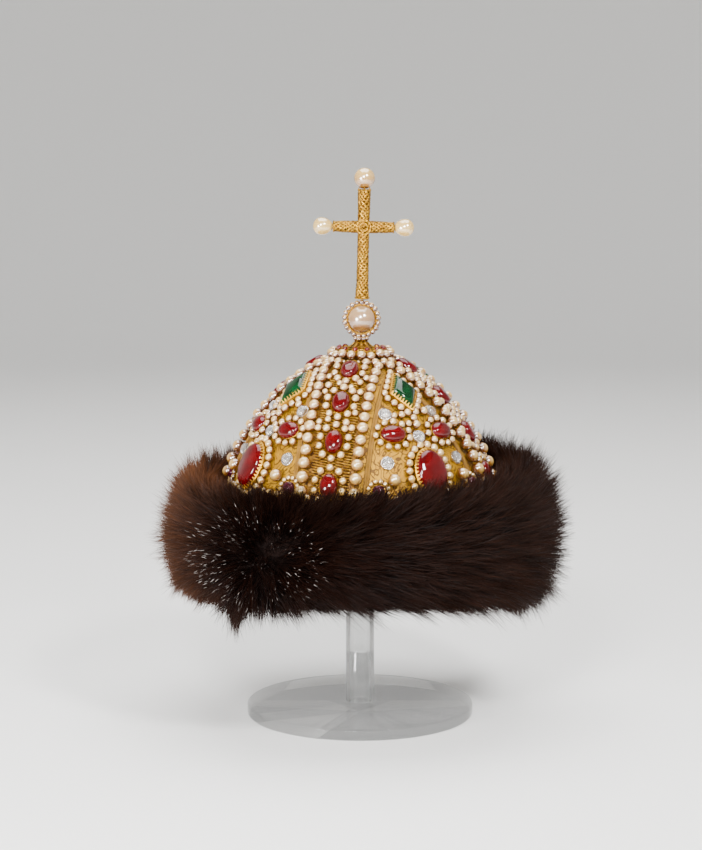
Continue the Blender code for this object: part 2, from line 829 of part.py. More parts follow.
def plate_profile():
    """Nearly flat plate that rests on the top of the cap, with a raised collar in the middle."""
    steps = 3
    foot = CAP_WALL_HEIGHT + CAP_DOME_HEIGHT + GAP + PLATE_THICKNESS
    under = [(r, plate_under(r)) for r in (PLATE_RADIUS * k / steps for k in range(steps + 1))]
    collar = [(COLLAR_RADIUS * r, foot + COLLAR_HEIGHT * z) for r, z in COLLAR_PROFILE]
    rim = [(r, z + PLATE_THICKNESS) for r, z in under if r > COLLAR_RADIUS]
    return [*collar, *rim, *reversed(under)]


def plate_under(r):
    """Height of the plate's underside, which keeps a share of the cap's fall from its apex."""
    share = 1.0 - (r / CAP_RADIUS) ** CAP_DOME_POWER
    fall = CAP_DOME_HEIGHT * (1.0 - share ** (1.0 / CAP_DOME_POWER))
    return CAP_WALL_HEIGHT + CAP_DOME_HEIGHT + GAP - PLATE_DROOP * fall


def build_plate(shop, crown):
    plate = turned(plate_profile(), FINIAL_SIDES)
    stones = []
    radius = PLATE_RADIUS - PLATE_STONE / 2 + PLATE_STONE_OVER_EDGE
    under = plate_under(radius)
    slope = math.atan2(CAP_DOME_POWER * (plate_under(0.0) - under), radius)
    for k in range(PLATE_STONES):
        azimuth = 2 * math.pi * (k + 0.5) / PLATE_STONES
        mesh = bpy.data.meshes.new("small_stone")
        bm = bmesh.new()
        bmesh.ops.create_cone(
            bm,
            cap_ends=True,
            segments=PLATE_STONE_SIDES,
            radius1=PLATE_STONE / 2,
            radius2=PLATE_STONE / 2 * PLATE_STONE_TABLE,
            depth=2 * PLATE_STONE_RISE,
        )
        tilt = Matrix.Rotation(slope, 4, "X")
        place = Matrix.Translation((0.0, -radius, under + PLATE_THICKNESS))
        turn = Matrix.Rotation(azimuth, 4, "Z")
        bmesh.ops.transform(bm, matrix=turn @ place @ tilt, verts=bm.verts)
        bm.to_mesh(mesh)
        bm.free()
        stones.append(mesh)
    shop.add("finial_plate", fused(plate, stones), "gold_metal", crown)
    return CAP_WALL_HEIGHT + CAP_DOME_HEIGHT + GAP + PLATE_THICKNESS + COLLAR_HEIGHT


def build_halo(shop, finial, centre):
    """Ring of small pearls round the ball pearl, facing the front."""
    mean = BALL_PEARL / 2 + GAP + HALO_PEARL / 2
    angles = [2 * math.pi * k / HALO_STEPS for k in range(HALO_STEPS)]
    places = [(mean * math.sin(angle), 0.0, centre + mean * math.cos(angle)) for angle in angles]
    radii = [HALO_PEARL / 2] * HALO_STEPS
    shop.add("pearl_halo", tube(places, radii, HALO_RESOLUTION, cyclic=True), "pearl", finial)


def bar(start, end, waists):
    """Round bar between two points with a radius at each quarter of its length."""
    spots = [start.lerp(end, k / (len(waists) - 1)) for k in range(len(waists))]
    radii = [CROSS_BAR / 2 * waist for waist in waists]
    return mesh_of_curve(tube(spots, radii, CROSS_RESOLUTION))


def rosette_mesh(level):
    """Short drum that faces the front where the bars of the cross meet."""
    mesh = bpy.data.meshes.new("rosette")
    bm = bmesh.new()
    bmesh.ops.create_cone(
        bm,
        cap_ends=True,
        segments=PEARL_SIDES,
        radius1=CROSS_ROSETTE / 2,
        radius2=CROSS_ROSETTE / 2,
        depth=CROSS_BAR + 2 * CROSS_ROSETTE_RISE,
    )
    place = Matrix.Translation((0.0, 0.0, level)) @ Matrix.Rotation(math.pi / 2, 4, "X")
    bmesh.ops.transform(bm, matrix=place, verts=bm.verts)
    bm.to_mesh(mesh)
    bm.free()
    return mesh


def build_cross(shop, finial, base):
    """Cross of two wound bars, one solid with the rosette where they meet."""
    level = base + CROSS_ARM_LEVEL
    reach = CROSS_ARM_SPAN / 2
    upright = bar(Vector((0, 0, base)), Vector((0, 0, base + CROSS_HEIGHT)), UPRIGHT_WAISTS)
    arms = bar(Vector((-reach, 0, level)), Vector((reach, 0, level)), ARM_WAISTS)
    shop.add("cross", fused(upright, [arms, rosette_mesh(level)]), "gold_metal", finial)


def mesh_of_curve(curve):
    helper = bpy.data.objects.new("curve", curve)
    bpy.context.scene.collection.objects.link(helper)
    mesh = evaluated_mesh(helper)
    bpy.data.objects.remove(helper)
    return mesh


def build_cross_pearls(shop, finial, base):
    top = base + CROSS_HEIGHT + GAP + TOP_PEARL / 2
    above = Matrix.Translation((0, 0, top))
    shop.add("cross_pearl_top", sphere(TOP_PEARL), "pearl", finial, above)
    level = base + CROSS_ARM_LEVEL
    start = CROSS_ARM_SPAN / 2 + GAP
    drop = [(r * ARM_PEARL_WIDTH / 2, z * ARM_PEARL_LENGTH) for z, r in DROP_PROFILE]
    for name, turn in (("cross_pearl_left", -math.pi / 2), ("cross_pearl_right", math.pi / 2)):
        aim = Matrix.Rotation(turn, 4, "Y")
        place = Matrix.Translation((math.copysign(start, turn), 0.0, level)) @ aim
        shop.add(name, turned(drop, PEARL_SIDES), "pearl", finial, place)


def build_finial(shop, crown):
    collar_top = build_plate(shop, crown)
    lean = Matrix.Rotation(math.radians(FINIAL_LEAN_DEG), 4, "Y")
    finial = shop.add_frame("finial_frame", Matrix.Translation((0, 0, collar_top)) @ lean, crown)
    ring = BALL_PEARL / 2 + GAP + HALO_PEARL
    centre = GAP + ring
    ball = Matrix.Translation((0, 0, centre))
    shop.add("ball_pearl", sphere(BALL_PEARL), "pearl", finial, ball)
    build_halo(shop, finial, centre)
    base = centre + ring + GAP
    build_cross(shop, finial, base)
    build_cross_pearls(shop, finial, base)


def main():
    clear_scene()
    shop = Workshop()
    pivot = head_centre_height()
    sphere_centre = RIM_HEIGHT + pivot
    lean = Matrix.Rotation(math.radians(CROWN_LEAN_DEG), 4, "Y")
    frame = Matrix.Translation((0, 0, sphere_centre)) @ lean @ Matrix.Translation((0, 0, -pivot))
    crown = shop.add_frame("crown_frame", frame)
    build_stand(shop, sphere_centre)
    build_cap(shop, crown)
    build_fur(shop, crown)
    build_band_ovals(shop, crown)
    build_panel_stones(shop, crown)
    build_strings(shop, crown)
    build_braids(shop, crown)
    build_finial(shop, crown)


main()
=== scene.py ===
"""Costume crown on a clear display stand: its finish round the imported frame, metres, +Z up.

Every place on the crown is worked out in the crown's own frame, whose origin is the centre of the
rim and whose azimuth runs from the front (-Y) towards +X, and is leant onto the stand at the end.
"""

import logging
import math
from collections.abc import Sequence
from dataclasses import dataclass, field
from enum import Enum

import bpy
import numpy as np
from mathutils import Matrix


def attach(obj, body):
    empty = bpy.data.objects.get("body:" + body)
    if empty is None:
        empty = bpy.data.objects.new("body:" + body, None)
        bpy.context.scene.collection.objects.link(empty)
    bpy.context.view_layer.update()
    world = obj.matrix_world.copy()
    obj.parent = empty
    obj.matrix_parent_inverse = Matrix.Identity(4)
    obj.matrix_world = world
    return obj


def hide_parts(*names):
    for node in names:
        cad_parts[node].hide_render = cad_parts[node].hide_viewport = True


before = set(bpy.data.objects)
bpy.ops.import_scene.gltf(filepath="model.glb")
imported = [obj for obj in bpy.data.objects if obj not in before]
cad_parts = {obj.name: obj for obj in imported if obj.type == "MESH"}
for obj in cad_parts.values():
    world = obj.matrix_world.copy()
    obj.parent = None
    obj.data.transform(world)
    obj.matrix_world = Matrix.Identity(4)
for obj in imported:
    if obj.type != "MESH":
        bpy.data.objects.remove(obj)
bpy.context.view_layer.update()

log = logging.getLogger("costume_crown")
Array = np.ndarray
TAU = 2 * math.pi
MM = 0.001
SIDE = np.array([1.0, 0.0, 0.0])
BACK = np.array([0.0, 1.0, 0.0])
UP = np.array([0.0, 0.0, 1.0])


# Meshes as whole arrays


@dataclass
class Surface:
    """Points, faces and what changes over them; each array of faces has one shading and finish."""

    points: Array
    faces: list[Array]
    smooth: list[bool]
    finish: list[int]
    values: dict[str, Array] = field(default_factory=dict)
    uv: Array | None = None

    @classmethod
    def of(cls, points: Array, faces: list[Array], smooth: bool = True, finish: int = 0) -> "Surface":
        """Surface with one shading and finish all over."""
        return cls(points.reshape(-1, 3), faces, [smooth] * len(faces), [finish] * len(faces))


@dataclass
class Places:
    """Frames for copies: origins (n, 3), axes (n, 3, 3) with X, Y and Z as rows, sizes (n,)."""

    origins: Array
    axes: Array
    sizes: Array

    @classmethod
    def upright(cls, origins: Array | Sequence[float], sizes: Array | float = 1.0) -> "Places":
        """Unturned frames at origins."""
        origins = np.atleast_2d(np.asarray(origins, float))
        count = len(origins)
        return cls(origins, np.tile(np.eye(3), (count, 1, 1)), np.broadcast_to(sizes, count))


def joined(parts: Sequence[Surface]) -> Surface:
    """One surface of several, each point keeping its values.

    Args:
        parts: The surfaces, of which some may lack a value or a UV, which is then 0.

    Returns:
        The joined surface.
    """
    starts = np.cumsum([0] + [len(p.points) for p in parts[:-1]])
    names = sorted({name for p in parts for name in p.values})
    flat = [np.zeros((len(p.points), 2)) if p.uv is None else p.uv for p in parts]
    return Surface(
        np.concatenate([p.points for p in parts]),
        [f + s for p, s in zip(parts, starts) for f in p.faces],
        [x for p in parts for x in p.smooth],
        [x for p in parts for x in p.finish],
        {n: np.concatenate([p.values.get(n, np.zeros(len(p.points))) for p in parts]) for n in names},
        np.concatenate(flat) if any(p.uv is not None for p in parts) else None,
    )


def copies(shape: Surface, places: Places, **per_copy: Array) -> Surface:
    """Copies of a shape: point = origin + size * (x X + y Y + z Z) in each frame.

    Args:
        shape: The shape, about its own origin.
        places: Where the copies go.
        per_copy: Values with one number for each copy.

    Returns:
        All the copies as one surface.
    """
    count, size = len(places.origins), len(shape.points)
    points = np.einsum("vk,nkj->nvj", shape.points, places.axes) * places.sizes[:, None, None]
    points += places.origins[:, None]
    shift = (np.arange(count) * size)[:, None, None]
    values = {name: np.tile(value, count) for name, value in shape.values.items()}
    values |= {name: np.repeat(value, size) for name, value in per_copy.items()}
    return Surface(
        points.reshape(-1, 3),
        [(f[None] + shift).reshape(-1, f.shape[1]) for f in shape.faces],
        list(shape.smooth),
        list(shape.finish),
        values,
        None if shape.uv is None else np.tile(shape.uv, (count, 1)),
    )


def turn_steps(count: int, phase: float = 0.0) -> Array:
    """Equal steps round a full turn, the first one moved on by a share of a step."""
    return TAU * (np.arange(count) + phase) / count


def grid_faces(rows: int, columns: int, loop: bool = False) -> Array:
    """Quads of a grid whose columns close on themselves, and its rows too where loop is set.

    Args:
        rows: Rows of points.
        columns: Points in each row.
        loop: Whether the last row joins the first.

    Returns:
        The faces, as rows of four point numbers.
    """
    i, j = np.meshgrid(np.arange(rows if loop else rows - 1), np.arange(columns), indexing="ij")
    below, beside = (i + 1) % rows * columns, (j + 1) % columns
    return np.stack([i * columns + j, below + j, below + beside, i * columns + beside], -1).reshape(-1, 4)


def lofted(
    rings: Array,
    loop: bool = False,
    poles: tuple[float, float] | None = None,
    facets: bool = False,
    smooth: bool = True,
) -> Surface:
    """Closed skin over rings of points, from the top ring to the bottom one.

    Args:
        rings: Points as (rows, columns, 3), anticlockwise seen from above the first row.
        loop: Whether the last ring joins the first, as on a tyre.
        poles: Heights of the points that close the ends on the Z axis, or None for flat ends.
        facets: Whether each quad is cut in two, as between rings turned half a step.
        smooth: Whether the sides are shaded smooth.

    Returns:
        The skin.
    """
    rows, columns = rings.shape[:2]
    sides = grid_faces(rows, columns, loop)
    faces = [np.concatenate([sides[:, [0, 1, 3]], sides[:, [1, 2, 3]]]) if facets else sides]
    points = rings.reshape(-1, 3)
    first, last = np.arange(columns), (rows - 1) * columns + np.arange(columns)
    if poles is not None:
        points = np.concatenate([points, [[0, 0, poles[0]], [0, 0, poles[1]]]])
        top = np.full(columns, rows * columns)
        faces += [np.stack([top, first, np.roll(first, -1)], -1)]
        faces += [np.stack([last, top + 1, np.roll(last, -1)], -1)]
    made = Surface.of(points, faces, smooth)
    if not loop and poles is None:
        made.faces += [first[None], last[::-1][None]]
        made.smooth += [False, False]
        made.finish += [0, 0]
    return made


def turned(
    profile: Array, sides: int, loop: bool = False, poles: tuple[float, float] | None = None
) -> Surface:
    """Profile spun round Z: point = (r sin a, -r cos a, z) at the angles a of the sides.

    Args:
        profile: Rows of (r, z), from the top down.
        sides: Steps round the axis.
        loop: Whether the profile closes on itself.
        poles: Heights of the points that close the ends on the axis, or None for flat ends.

    Returns:
        The turned shape.
    """
    angle = turn_steps(sides)
    radius, z = profile[:, :1], profile[:, 1:]
    rings = np.stack([radius * np.sin(angle), -radius * np.cos(angle), z + 0 * angle], -1)
    return lofted(rings, loop, poles)


def tube(path: Array, up: Array, radius: Array | float, sides: int, loop: bool = False) -> Surface:
    """Round wire along a path: point = path + r (cos f side + sin f above), side = along x up.

    Args:
        path: Points that the wire follows.
        up: A direction across the wire at each point, such as straight off the cloth.
        radius: Radius, or one for each point.
        sides: Sides of the section.
        loop: Whether the path closes on itself.

    Returns:
        The wire, with its length as V and its turn as U.
    """
    along = unit(np.roll(path, -1, 0) - np.roll(path, 1, 0) if loop else np.gradient(path, axis=0))
    side = unit(np.cross(along, up))
    above = np.cross(side, along)
    turn = turn_steps(sides)
    wide = np.broadcast_to(np.asarray(radius, float), len(path))[:, None, None]
    rings = path[:, None] + wide * (
        side[:, None] * np.cos(turn)[:, None] + above[:, None] * np.sin(turn)[:, None]
    )
    made = lofted(rings, loop)
    length = np.cumsum(np.r_[0, np.linalg.norm(np.diff(path, axis=0), axis=1)])
    made.uv = np.stack(np.broadcast_arrays(np.arange(sides) / sides, length[:, None]), -1).reshape(-1, 2)
    return made


def beaded(thick: float, beads: int, steps: int, swell: float = 0.25) -> Array:
    """Radius of a wire ring that swells once for each bead: r = R (1 + swell cos(beads a))."""
    return thick * (1 + swell * np.cos(beads * turn_steps(steps)))


def wire_ring(
    middle: Array | Sequence[float],
    first: Array,
    second: Array,
    radius: Array | float,
    thick: Array,
    sides: int = 6,
) -> Surface:
    """Wire bent into a ring: path = middle + R (cos a first + sin a second).

    Args:
        middle: Middle of the ring, or one for each step round it.
        first: Direction in the ring's plane where the angle is 0.
        second: Direction in it a quarter turn on.
        radius: Radius of the ring, or one for each step.
        thick: Radius of the wire at each step.
        sides: Sides of the wire's section.

    Returns:
        The ring.
    """
    spin = turn_steps(len(thick))
    across = np.outer(np.cos(spin), first) + np.outer(np.sin(spin), second)
    path = np.asarray(middle) + np.reshape(radius, (-1, 1)) * across
    return tube(path, np.tile(np.cross(first, second), (len(thick), 1)), thick, sides, loop=True)


def unit(vectors: Array) -> Array:
    """Vectors made one long."""
    return vectors / np.maximum(np.linalg.norm(vectors, axis=-1, keepdims=True), 1e-12)


def ball(columns: int = 12, rows: int = 6, foot_shade: float = 1.0) -> Surface:
    """Sphere one across, with painted shade that darkens it towards its foot, in proportion to 1/2 - z.

    Args:
        columns: Steps round it.
        rows: Equal steps of angle from pole to pole.
        foot_shade: Share of the full painted shade.

    Returns:
        The sphere.
    """
    angle = math.pi * np.arange(1, rows) / rows
    sphere = turned(np.stack([np.sin(angle), np.cos(angle)], -1) / 2, columns, poles=(0.5, -0.5))
    # Painted shade: darker towards the ball's foot, its local -Z, which faces the cloth or points down.
    sphere.values["recess"] = foot_shade * (0.5 - sphere.points[:, 2])
    return sphere


def ring_point(azimuth: Array, radius: Array, z: Array) -> Array:
    """Point at an azimuth measured from the front towards +X."""
    azimuth, radius, z = np.broadcast_arrays(azimuth, radius, z)
    return np.stack([radius * np.sin(azimuth), -radius * np.cos(azimuth), z], -1)


# Frames of the crown


def moved(x: float, y: float, z: float) -> Array:
    """Matrix that moves.

    Args:
        x: Way along X.
        y: Way along Y.
        z: Way along Z.

    Returns:
        The matrix.
    """
    matrix = np.eye(4)
    matrix[:3, 3] = x, y, z
    return matrix


def leant(degrees: float) -> Array:
    """Matrix that turns about Y.

    Args:
        degrees: How far the top leans towards +X.

    Returns:
        The matrix.
    """
    cos, sin = math.cos(math.radians(degrees)), math.sin(math.radians(degrees))
    matrix = np.eye(4)
    matrix[0, 0], matrix[0, 2], matrix[2, 0], matrix[2, 2] = cos, sin, -sin, cos
    return matrix


UPRIGHT = np.eye(4)
CROWN = moved(0, 0, 0.19006) @ leant(0.5) @ moved(0, 0, -0.09006)
FINIAL = CROWN @ moved(0, 0, 0.1659) @ leant(0.7)


@dataclass(frozen=True)
class Dome:
    """Outside of the cap: a superellipse on a straight wall."""

    radius: float = 0.094
    wall: float = 0.040
    rise: float = 0.116
    power: float = 1.72

    def profile(self, rows: int, inset: float = 0.0) -> Array:
        """(r, z) from the apex to the wall: r = R cos(t)^(2/n), z = wall + H sin(t)^(2/n).

        Args:
            rows: Steps from the apex to the wall.
            inset: How far inside the outer face.

        Returns:
            The rows, apex first.
        """
        t = math.pi / 2 * (1 - np.arange(rows + 1) / rows)
        share = 2 / self.power
        r = (self.radius - inset) * np.maximum(np.cos(t), 0) ** share
        return np.stack([r, self.wall + (self.rise - inset) * np.sin(t) ** share], -1)

    def radius_at(self, z: Array) -> Array:
        """Radius at a height."""
        level = np.clip((z - self.wall) / self.rise, 0, 1)
        return self.radius * (1 - level**self.power) ** (1 / self.power)

    def off(self, r: Array, z: Array) -> tuple[Array, Array]:
        """Outward and upward parts of the direction off the cloth, from the dome's gradient.

        Args:
            r: Distance from the axis.
            z: Height above the rim.

        Returns:
            The outward part and the upward part, of unit length together.
        """
        out = (np.abs(r) / self.radius) ** (self.power - 1) / self.radius
        up = np.clip((z - self.wall) / self.rise, 0, 1) ** (self.power - 1) / self.rise
        length = np.hypot(out, up)
        return out / length, up / length

    def path(self, lateral: float) -> Array:
        """Rows of (length, z) down the outline in the plane `lateral` beside a meridian.

        Args:
            lateral: Distance of the plane from the meridian.

        Returns:
            The rows, from the top down.
        """
        rows = self.profile(400)
        rows = rows[rows[:, 0] > lateral]
        out = np.sqrt(rows[:, 0] ** 2 - lateral**2)
        steps = np.hypot(np.diff(out), np.diff(rows[:, 1]))
        return np.stack([np.r_[0, np.cumsum(steps)], rows[:, 1]], -1)

    def height_at(self, lateral: float, length: Array) -> Array:
        """Height at a length down the outline beside a meridian."""
        rows = self.path(lateral)
        return np.interp(length, rows[:, 0], rows[:, 1])

    def length_at(self, lateral: float, z: float) -> float:
        """Length down the outline beside a meridian to a height."""
        rows = self.path(lateral)[::-1]
        return float(np.interp(z, rows[:, 1], rows[:, 0]))

    def places(
        self,
        azimuth: Array | float,
        lateral: Array | float,
        z: Array | float,
        lift: Array | float,
        sizes: Array | float = 1.0,
    ) -> Places:
        """Frames on the cloth: X sideways, Y up the cloth, Z off it.

        Args:
            azimuth: Azimuth of the meridian.
            lateral: Distance beside it.
            z: Height above the rim.
            lift: Height off the cloth.
            sizes: Sizes of the copies.

        Returns:
            One frame for each.
        """
        azimuth, lateral, z, lift, sizes = np.broadcast_arrays(
            *(np.atleast_1d(np.asarray(x, float)) for x in (azimuth, lateral, z, lift, sizes))
        )
        r = self.radius_at(z)
        turn = azimuth + np.arcsin(np.clip(lateral / np.maximum(r, 1e-9), -1, 1))
        out, up = self.off(r, z)
        normal = ring_point(turn, out, up)
        sideways = np.stack([np.cos(turn), np.sin(turn), 0 * turn], -1)
        axes = np.stack([sideways, np.cross(normal, sideways), normal], 1)
        return Places(ring_point(turn, r, z) + normal * lift[:, None], axes, sizes.copy())

    def settled(self, points: Array, lift: Array, sizes: Array) -> Places:
        """Frames on the cloth nearest to points: the closest row of the profile is taken.

        Args:
            points: Points near the cloth.
            lift: Height off it of each frame.
            sizes: Sizes of the copies.

        Returns:
            One frame for each point.
        """
        rows = self.profile(500)[1:]
        out = np.hypot(points[:, 0], points[:, 1])
        far = (out[:, None] - rows[:, 0]) ** 2 + (points[:, 2:] - rows[:, 1]) ** 2
        z = rows[np.argmin(far, 1), 1]
        return self.places(np.arctan2(points[:, 0], -points[:, 1]), 0, z, lift, sizes)


DOME = Dome()
BANDS = ("front", "right", "back", "left")
PANELS = ("front_right", "back_right", "back_left", "front_left")
BAND_AZIMUTH = np.radians(-13.8 + 90 * np.arange(4))
PANEL_AZIMUTH = BAND_AZIMUTH + math.radians(46.5)
SEAT = 0.060
LIFT = 0.0003
STRING_LATERAL = 0.0173
BRAID_LATERAL = 0.0242


def beside_band(azimuth: Array, radius: Array) -> Array:
    """Distance beside the nearest band's middle: r sin(angle to it), up to a quarter turn."""
    near = np.abs((azimuth[:, None] - BAND_AZIMUTH + math.pi) % TAU - math.pi).min(1)
    return radius * np.sin(np.minimum(near, math.pi / 2))


# Shader nodes


class NodeSheet:
    """Short hand for laying nodes into a material or a group."""

    def __init__(self, tree: bpy.types.NodeTree) -> None:
        """Keep the tree."""
        self.tree = tree

    def add(self, kind: str, inputs: dict | None = None, **settings: object) -> bpy.types.Node:
        """New node.

        Args:
            kind: Its type without the leading ShaderNode.
            inputs: Values or sockets for its inputs, by name or number.
            settings: Its own properties.

        Returns:
            The node.
        """
        node = self.tree.nodes.new("ShaderNode" + kind)
        for name, value in settings.items():
            setattr(node, name, value)
        self.feed(node.inputs, inputs or {})
        return node

    def feed(self, sockets: bpy.types.NodeInputs, values: dict) -> None:
        """Link or set input sockets, by name or number.

        Args:
            sockets: The node's inputs.
            values: Sockets or plain values for them.
        """
        for name, value in values.items():
            if isinstance(value, bpy.types.NodeSocket):
                self.tree.links.new(value, sockets[name])
            else:
                sockets[name].default_value = value

    def math(self, operation: str, *values: object, clamp: bool = False) -> bpy.types.NodeSocket:
        """Result of a Math node."""
        inputs = dict(enumerate(values))
        return self.add("Math", inputs, operation=operation, use_clamp=clamp).outputs[0]

    def mix(self, share: object, a: object, b: object, blend: str = "MIX") -> bpy.types.NodeSocket:
        """Colour mixed from two."""
        inputs = {0: share, 6: a, 7: b}
        return self.add("Mix", inputs, data_type="RGBA", blend_type=blend).outputs[2]

    def ramp(self, value: object, low: float, high: float) -> bpy.types.NodeSocket:
        """Value run from 0 at low to 1 at high, smoothly."""
        inputs = {0: value, 1: low, 2: high, 3: 0.0, 4: 1.0}
        return self.add("MapRange", inputs, interpolation_type="SMOOTHSTEP").outputs[0]

    def noise(self, vector: object, scale: object, detail: float = 3.0) -> bpy.types.NodeSocket:
        """Value of a noise."""
        return self.add("TexNoise", {"Vector": vector, "Scale": scale, "Detail": detail}).outputs[0]

    def value(self, name: str) -> bpy.types.NodeSocket:
        """Value of the piece's own attribute."""
        return self.add("Attribute", attribute_name=name).outputs["Fac"]

    def object_place(self) -> bpy.types.NodeSocket:
        """Object coordinates."""
        return self.add("TexCoord").outputs["Object"]

    def uv(self) -> bpy.types.NodeSocket:
        """The piece's own UV map."""
        return self.add("TexCoord").outputs["UV"]

    def bump(self, height: object, distance: float, strength: float = 1.0) -> bpy.types.NodeSocket:
        """Normal bent by a height."""
        inputs = {"Height": height, "Distance": distance, "Strength": strength}
        return self.add("Bump", inputs).outputs[0]

    def group(self, tree: bpy.types.NodeTree, inputs: dict) -> bpy.types.Node:
        """A shared effect placed with its own values.

        Args:
            tree: The effect.
            inputs: Its values, by name.

        Returns:
            The node.
        """
        return self.add("Group", inputs, node_tree=tree)


def new_group(
    name: str, inputs: dict[str, str], outputs: dict[str, str]
) -> tuple[NodeSheet, dict, bpy.types.Node]:
    """Empty shader group with named sockets.

    Args:
        name: The effect's name.
        inputs: Names and kinds of its inputs.
        outputs: Names and kinds of its outputs.

    Returns:
        The sheet to lay nodes on, the input sockets by name, and the output node.
    """
    tree = bpy.data.node_groups.new(name, "ShaderNodeTree")
    for sockets, way in ((inputs, "INPUT"), (outputs, "OUTPUT")):
        for label, kind in sockets.items():
            tree.interface.new_socket(label, in_out=way, socket_type="NodeSocket" + kind)
    sheet = NodeSheet(tree)
    start, end = tree.nodes.new("NodeGroupInput"), tree.nodes.new("NodeGroupOutput")
    return sheet, {label: start.outputs[label] for label in inputs}, end


def grain_group() -> bpy.types.NodeTree:
    """Uneven tone and fine relief: colour drifts to a second one where two noises are high.

    Returns:
        The group.
    """
    sheet, get, end = new_group(
        "handled_grain",
        {"Vector": "Vector", "Colour": "Color", "Worn Colour": "Color", "Scale": "Float", "Amount": "Float"},
        {"Colour": "Color", "Mask": "Float", "Height": "Float"},
    )
    broad = sheet.noise(get["Vector"], get["Scale"], 4.0)
    fine = sheet.noise(get["Vector"], sheet.math("MULTIPLY", get["Scale"], 9.0), 2.0)
    both = sheet.math("MULTIPLY_ADD", fine, 0.35, sheet.math("MULTIPLY", broad, 0.65))
    mask = sheet.math("MULTIPLY", sheet.ramp(both, 0.38, 0.66), get["Amount"])
    tone = sheet.mix(mask, get["Colour"], get["Worn Colour"])
    sheet.feed(end.inputs, {"Colour": tone, "Mask": mask, "Height": fine})
    return sheet.tree


def thread_group() -> bpy.types.NodeTree:
    """Laid threads: height |sin(V threads + |U - 1/4| slant)|.

    Returns:
        The group.
    """
    sheet, get, end = new_group(
        "laid_threads",
        {"Vector": "Vector", "Threads": "Float", "Slant": "Float"},
        {"Height": "Float"},
    )
    parts = sheet.add("SeparateXYZ", {0: get["Vector"]})
    across = sheet.math("ABSOLUTE", sheet.math("SUBTRACT", parts.outputs[0], 0.25))
    turn = sheet.math("MULTIPLY", parts.outputs[1], get["Threads"])
    turn = sheet.math("MULTIPLY_ADD", across, get["Slant"], turn)
    sheet.feed(end.inputs, {"Height": sheet.math("ABSOLUTE", sheet.math("SINE", turn))})
    return sheet.tree


def scroll_group() -> bpy.types.NodeTree:
    """Fine scroll outlines: level lines of two noises, |fract(turns noise) - 1/2| < width.

    A third noise lifts the pen: a line shows only where that noise is high.

    Returns:
        The group.
    """
    sheet, get, end = new_group(
        "scroll_lines",
        {"Vector": "Vector", "Scale": "Float", "Width": "Float"},
        {"Mask": "Float", "Height": "Float"},
    )
    lines, fields = [], []
    for size, turns in ((1.0, 5.0), (0.6, 8.0)):
        scale = sheet.math("MULTIPLY", get["Scale"], size)
        value = sheet.noise(get["Vector"], scale, 0.0)
        level = sheet.math("FRACT", sheet.math("MULTIPLY", value, turns))
        away = sheet.math("ABSOLUTE", sheet.math("SUBTRACT", level, 0.5))
        pen = sheet.noise(get["Vector"], sheet.math("MULTIPLY", scale, 0.9), 0.0)
        line = sheet.math("LESS_THAN", away, get["Width"])
        lines.append(sheet.math("MULTIPLY", line, sheet.ramp(pen, 0.42, 0.44)))
        fields.append(value)
    sheet.feed(end.inputs, {"Mask": sheet.math("MAXIMUM", *lines), "Height": sheet.math("ADD", *fields)})
    return sheet.tree


@dataclass(frozen=True)
class Effects:
    """The shared effects, each built once."""

    grain: bpy.types.NodeTree
    threads: bpy.types.NodeTree
    scrolls: bpy.types.NodeTree


EFFECTS = Effects(grain_group(), thread_group(), scroll_group())
Colour = tuple[float, float, float, float]


def colour(red: float, green: float, blue: float) -> Colour:
    """Opaque colour."""
    return (red, green, blue, 1.0)


@dataclass(frozen=True)
class Finish:
    """A finish: its name and the plain numbers of its shader."""

    name: str
    base: Colour
    roughness: float = 0.5
    metallic: float = 0.0

    def make(self) -> bpy.types.Material:
        """Material with this finish.

        Returns:
            The material, dressed.
        """
        material = bpy.data.materials.new(self.name)
        material.use_nodes = True
        material.node_tree.nodes.clear()
        sheet = NodeSheet(material.node_tree)
        shader = sheet.add(
            "BsdfPrincipled",
            {"Base Color": self.base, "Roughness": self.roughness, "Metallic": self.metallic},
        )
        sheet.add("OutputMaterial", {"Surface": shader.outputs[0]})
        self.dress(sheet, shader.inputs)
        return material

    def dress(self, sheet: NodeSheet, shader: bpy.types.NodeInputs) -> None:
        """Give the shader its detail.

        Args:
            sheet: The material's sheet.
            shader: Inputs of its shader.
        """

    def worn(self, sheet: NodeSheet, second: Colour, scale: float, amount: float) -> bpy.types.NodeOutputs:
        """The shared grain over this finish's colour.

        Args:
            sheet: The material's sheet.
            second: The colour that this finish's own drifts to.
            scale: Scale of the noise.
            amount: How far the colour drifts.

        Returns:
            The grain's colour, mask and height.
        """
        inputs = {"Vector": sheet.object_place(), "Colour": self.base, "Worn Colour": second}
        return sheet.group(EFFECTS.grain, inputs | {"Scale": scale, "Amount": amount}).outputs


